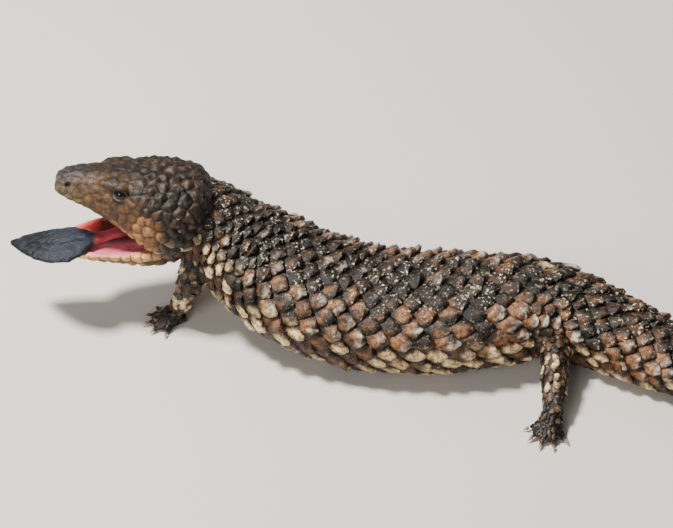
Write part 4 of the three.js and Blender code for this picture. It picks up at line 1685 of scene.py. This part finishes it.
        # Painted shade: the palate turns dark maroon towards the back of the mouth.
        upper = blend(upper, marks.maroon * 0.7, ramp(12.0, 22.0, view.head[:, 0]) * 0.92)
        back, across, _ = view.jaw.T
        lower = blend(marks.pink, marks.red, np.clip(patch * 0.4, 0.0, 1.0))
        lower = blend(lower, marks.red * 0.95, ramp(1.0, 8.0, across) * 0.85)
        # Painted shade: dark maroon in the throat, on its far side and at the very back.
        throat = ramp(18.0, 24.0, back) * ramp(-4.0, 2.0, across)
        lower = blend(lower, marks.maroon * 0.6, np.maximum(throat, ramp(50.0, 60.0, back)) * 0.95)
        return np.where(view.is_jaw[:, None], lower, upper)


@dataclass
class Eye:
    """One eye with its lids.

    ball is the eyeball's radius, wide and tall are half the open slit, and bulge is how far the cornea
    stands out, all in millimetres. rim is where the lids end, in degrees from the eye's own axis.
    """

    side: str
    frames: Frames
    markings: Markings
    ball: float = 4.1
    bulge: float = 0.12
    rim: float = 84.0
    wide: float = 3.15
    tall: float = 2.3

    def _basis(self) -> Matrix:
        """From the eye's own space, with z out of the eye, x back and y up, to the frame of the solids."""
        sign = -1.0 if self.side == "left" else 1.0
        out = Vector((-0.22, sign, 0.12)).normalized()
        rear = Vector((1.0, 0.0, -0.06))
        back = (rear - out * out.dot(rear)).normalized()
        up = out.cross(back)
        if up.z < 0.0:
            up = -up
        place = Vector((EYE_PLACE[0], sign * EYE_PLACE[1], EYE_PLACE[2]))
        turn = Matrix((back, up, out)).transposed().to_4x4()
        return self.frames.head() @ Matrix.Translation(place) @ turn

    def build(self) -> list[bpy.types.Object]:
        """Makes the ball and the lids, each as its own piece."""
        return [self._ball(), self._lids()]

    def _ball(self) -> bpy.types.Object:
        """The eyeball, with a low bulge of the cornea."""
        add = bpy.ops.mesh.primitive_uv_sphere_add
        made = Bench.start(f"eyeball_{self.side}", add, segments=48, ring_count=32, radius=self.ball)
        raw = Bench.points(made)
        polar = np.degrees(np.arccos(np.clip(raw[:, 2] / self.ball, -1.0, 1.0)))
        raw[:, 2] += self.bulge * ramp(34.0, 8.0, polar)
        Bench.set_points(made, Frames.out_of(self._basis(), raw))
        Bench.face_out(made)
        Bench.paint(made, "polar", polar)
        Bench.round_off(made, 60.0)
        Bench.dress(made, EyeFinish(made.name).build(), Slot.EYE)
        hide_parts(f"eye_{self.side}")
        return made

    def _lids(self) -> bpy.types.Object:
        """Upper and lower lid as one ring with a rolled rim, creased and beaded."""
        add, size = bpy.ops.mesh.primitive_torus_add, {"major_radius": 1.0, "minor_radius": 0.25}
        made = Bench.start(f"lids_{self.side}", add, major_segments=72, minor_segments=20, **size)
        raw = Bench.points(made)
        turn = np.arctan2(raw[:, 1], raw[:, 0])
        ring = np.hypot(raw[:, 0], raw[:, 1]) - 1.0
        profile = np.arctan2(raw[:, 2], -ring) / math.pi
        upper = np.sin(turn)
        slit = 1.0 / np.sqrt((np.cos(turn) / self.wide) ** 2 + (np.sin(turn) / self.tall) ** 2)
        inner = np.degrees(np.arcsin(np.clip(slit / self.ball, 0.0, 0.95)))
        outside = np.clip(profile, 0.0, 1.0)
        inside = np.clip(-profile, 0.0, 1.0)
        polar = np.radians(inner + (self.rim - inner) * np.maximum(outside, inside) ** 1.1)
        bead = 0.10 * np.cos(turn * 22.0) * ramp(0.12, 0.3, outside) * ramp(0.75, 0.5, outside)
        fold = 0.16 * np.sin(outside * 15.0) * ramp(0.1, 0.3, outside)
        thick = 0.78 * ramp(-0.02, 0.22, outside) + 0.28 * ramp(0.0, 1.0, upper)
        lifted = np.where(profile >= 0.0, thick + bead + fold, -0.5 * ramp(0.1, 0.6, inside))
        reach = self.ball + 0.04 + lifted
        flat = reach * np.sin(polar)
        local = np.stack((flat * np.cos(turn), flat * np.sin(turn), reach * np.cos(polar)), axis=-1)
        Bench.set_points(made, Frames.out_of(self._basis(), local))
        Bench.face_out(made)
        marks = self.markings
        rim = ramp(0.11, 0.04, outside) * (0.08 + 0.45 * ramp(0.1, -0.6, upper))
        colour = blend(marks.black * 1.2, marks.tan * 0.55, ramp(0.3, 0.9, outside))
        colour = blend(colour, marks.cream * 0.6, rim)
        Bench.paint(made, "tint", colour)
        Bench.paint(made, "wet", rim * 0.25)
        Bench.round_off(made, 60.0)
        Bench.dress(made, HideFinish(made.name).build(), Slot.HEAD)
        return made


@dataclass
class Tongue:
    """The broad blue tongue, red at its root, with painted shade where it goes into the throat.

    line is the course of its middle groove as pairs of x and y, in millimetres.
    """

    markings: Markings
    line: tuple[tuple[float, float], ...] = (
        (-196.0, 27.4),
        (-176.0, 20.4),
        (-165.0, 19.2),
        (-152.0, 22.8),
        (-138.0, 29.8),
    )
    groove_width: float = 1.6
    groove_depth: float = 0.5

    def build(self) -> bpy.types.Object:
        """Makes the tongue."""
        made = Bench.copy_nodes("tongue_blade", ("tongue",))
        Bench.finish_modifier(made, "REMESH", mode="VOXEL", voxel_size=0.6 * MM, use_smooth_shade=True)
        Bench.finish_modifier(made, "SMOOTH", factor=0.5, iterations=4)
        places = Bench.points(made)
        x, y = places[:, 0] / MM, places[:, 1] / MM
        top = np.clip(Bench.normals(made)[:, 2], 0.0, 1.0)
        (line,) = stations(self.line, x)
        groove = np.exp(-(((y - line) / self.groove_width) ** 2)) * top * ramp(-190.0, -178.0, x)
        sunk = groove * self.groove_depth - lumps(places, (3.2, 0.28, 41), (1.4, 0.12, 42))
        places = places - Bench.normals(made) * (sunk * MM)[:, None]
        Bench.set_points(made, places)
        marks = self.markings
        patch = patches(places, 8.0, 43)
        shadow = np.clip(patch * 0.6 + 1.2 * ramp(-172.0, -188.0, x), 0.0, 1.0)
        blade = blend(marks.blue * 0.95, marks.blue * 0.18, shadow)
        root = blend(marks.red * 0.7, marks.pink * 0.8, patch * 0.5)
        # Painted shade: the root turns maroon where it goes into the throat.
        root = blend(root, marks.maroon, ramp(-146.0, -134.0, x) * 0.8)
        colour = blend(blade, root, ramp(-153.5, -149.5, x + wrinkle(places, 4.0, 44) * 1.5))
        Bench.paint(made, "tint", colour)
        Bench.dress(made, TongueFinish("tongue_blade").build(), Slot.TONGUE)
        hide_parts("tongue")
        return made


@dataclass
class Claws:
    """The five claws of one foot."""

    limb: str

    def build(self) -> bpy.types.Object:
        """Makes the claws of the foot as one piece."""
        nodes = tuple(f"{self.limb}_claw_{toe}" for toe in range(1, 6))
        made = Bench.copy_nodes(f"{self.limb}_claws", nodes)
        tips = []
        for node in nodes:
            low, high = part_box(node)
            tips.append(((low + high) / 2.0, (high - low).length))
        places = Bench.points(made)
        foot_low, foot_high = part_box(f"{self.limb}_foot")
        heart = np.array((foot_low + foot_high) / 2.0)
        tip = np.zeros(len(places))
        for middle, size in tips:
            out = np.array(middle) - heart
            out /= np.linalg.norm(out)
            near = np.linalg.norm(places - np.array(middle), axis=1) < size * 0.75
            tip = np.where(near, 0.5 + (places - np.array(middle)) @ out / size, tip)
        Bench.paint(made, "tip", np.clip(tip, 0.0, 1.0))
        Bench.finish_modifier(made, "SUBSURF", levels=1, render_levels=1)
        Bench.round_off(made, 60.0)
        Bench.dress(made, ClawFinish(made.name).build(), Slot.CLAW)
        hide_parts(*nodes)
        return made


@dataclass(frozen=True)
class Lamp:
    """A soft square lamp that faces the animal: its place and width in metres and its power in watts."""

    name: str
    place: Triple
    size: float
    power: float
    colour: Triple
    aim: Triple = (-0.02, 0.0, 0.02)

    def build(self) -> None:
        """Hangs the lamp."""
        data = bpy.data.lights.new(self.name, "AREA")
        data.energy = self.power
        data.size = self.size
        data.color = self.colour
        lamp = Bench.link(self.name, data)
        lamp.location = self.place
        lamp.rotation_euler = (Vector(self.aim) - Vector(self.place)).to_track_quat("-Z", "Y").to_euler()


@dataclass
class Studio:
    """The floor, the soft lights and the camera, a long lens that looks down on the animal's left side."""

    lamps: tuple[Lamp, ...] = (
        Lamp("key", (-0.58, 0.06, 1.18), 0.2, 44.0, (1.0, 0.94, 0.86)),
        Lamp("fill", (-0.55, -0.95, 0.7), 0.6, 8.0, (1.0, 0.96, 0.9)),
        Lamp("rear", (0.25, 0.95, 0.85), 0.8, 3.0, (1.0, 0.98, 0.95)),
    )
    sky: tuple[float, float, float, float] = (1.0, 0.98, 0.95, 1.0)
    sky_strength: float = 0.15
    floor_size: float = 8.0
    place: Triple = (-0.03175, -0.56525, 0.5797)
    down: float = 43.0
    lens: float = 85.0

    def build(self) -> None:
        """Sets the stage."""
        floor = Bench.start("floor", bpy.ops.mesh.primitive_plane_add, size=self.floor_size)
        floor.data.materials.append(BackdropFinish("floor").build())
        for lamp in self.lamps:
            lamp.build()
        world = bpy.data.worlds.new("studio")
        world.use_nodes = True
        sky = world.node_tree.nodes["Background"].inputs
        sky["Color"].default_value = self.sky
        sky["Strength"].default_value = self.sky_strength
        bpy.context.scene.world = world
        self._camera()

    def _camera(self) -> None:
        """Places the camera."""
        data = bpy.data.cameras.new("camera")
        data.lens = self.lens
        data.sensor_width = 36.0
        data.clip_start = 0.01
        camera = Bench.link("camera", data)
        camera.location = self.place
        camera.rotation_euler = (math.radians(90.0 - self.down), 0.0, 0.0)
        bpy.context.scene.camera = camera


def report(*pieces: bpy.types.Object) -> None:
    """Logs each piece with its number of triangles."""
    for piece in pieces:
        piece.data.calc_loop_triangles()
        log.info("%s: %d triangles", piece.name, len(piece.data.loop_triangles))


def main() -> None:
    """Builds the skink and its stage."""
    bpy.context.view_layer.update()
    frames, markings, flesh = Frames(), Markings(), Flesh()
    skin = Skin().build(flesh, markings)
    report(skin)
    owners = flesh.owner(Bench.points(skin))
    tree = BVHTree.FromObject(skin, bpy.context.evaluated_depsgraph_get())
    shingle = ScaleForm("shingle").build()
    small = ScaleForm("small", cuts=4, front=0.6, tip=0.5, keel=0.1, lift=0.4).build()
    report(*BodyScales(Hull(), shingle, markings, frames).build(tree))
    report(*LegScales(small, markings).build(skin, owners))
    report(HeadShields(frames, markings).build(flesh))
    for side in SIDES:
        report(*Eye(side, frames, markings).build())
    report(Tongue(markings).build())
    for limb in LIMBS:
        report(Claws(limb).build())
    Studio().build()


if __name__ == "__main__":
    logging.basicConfig(level=logging.INFO)
    main()
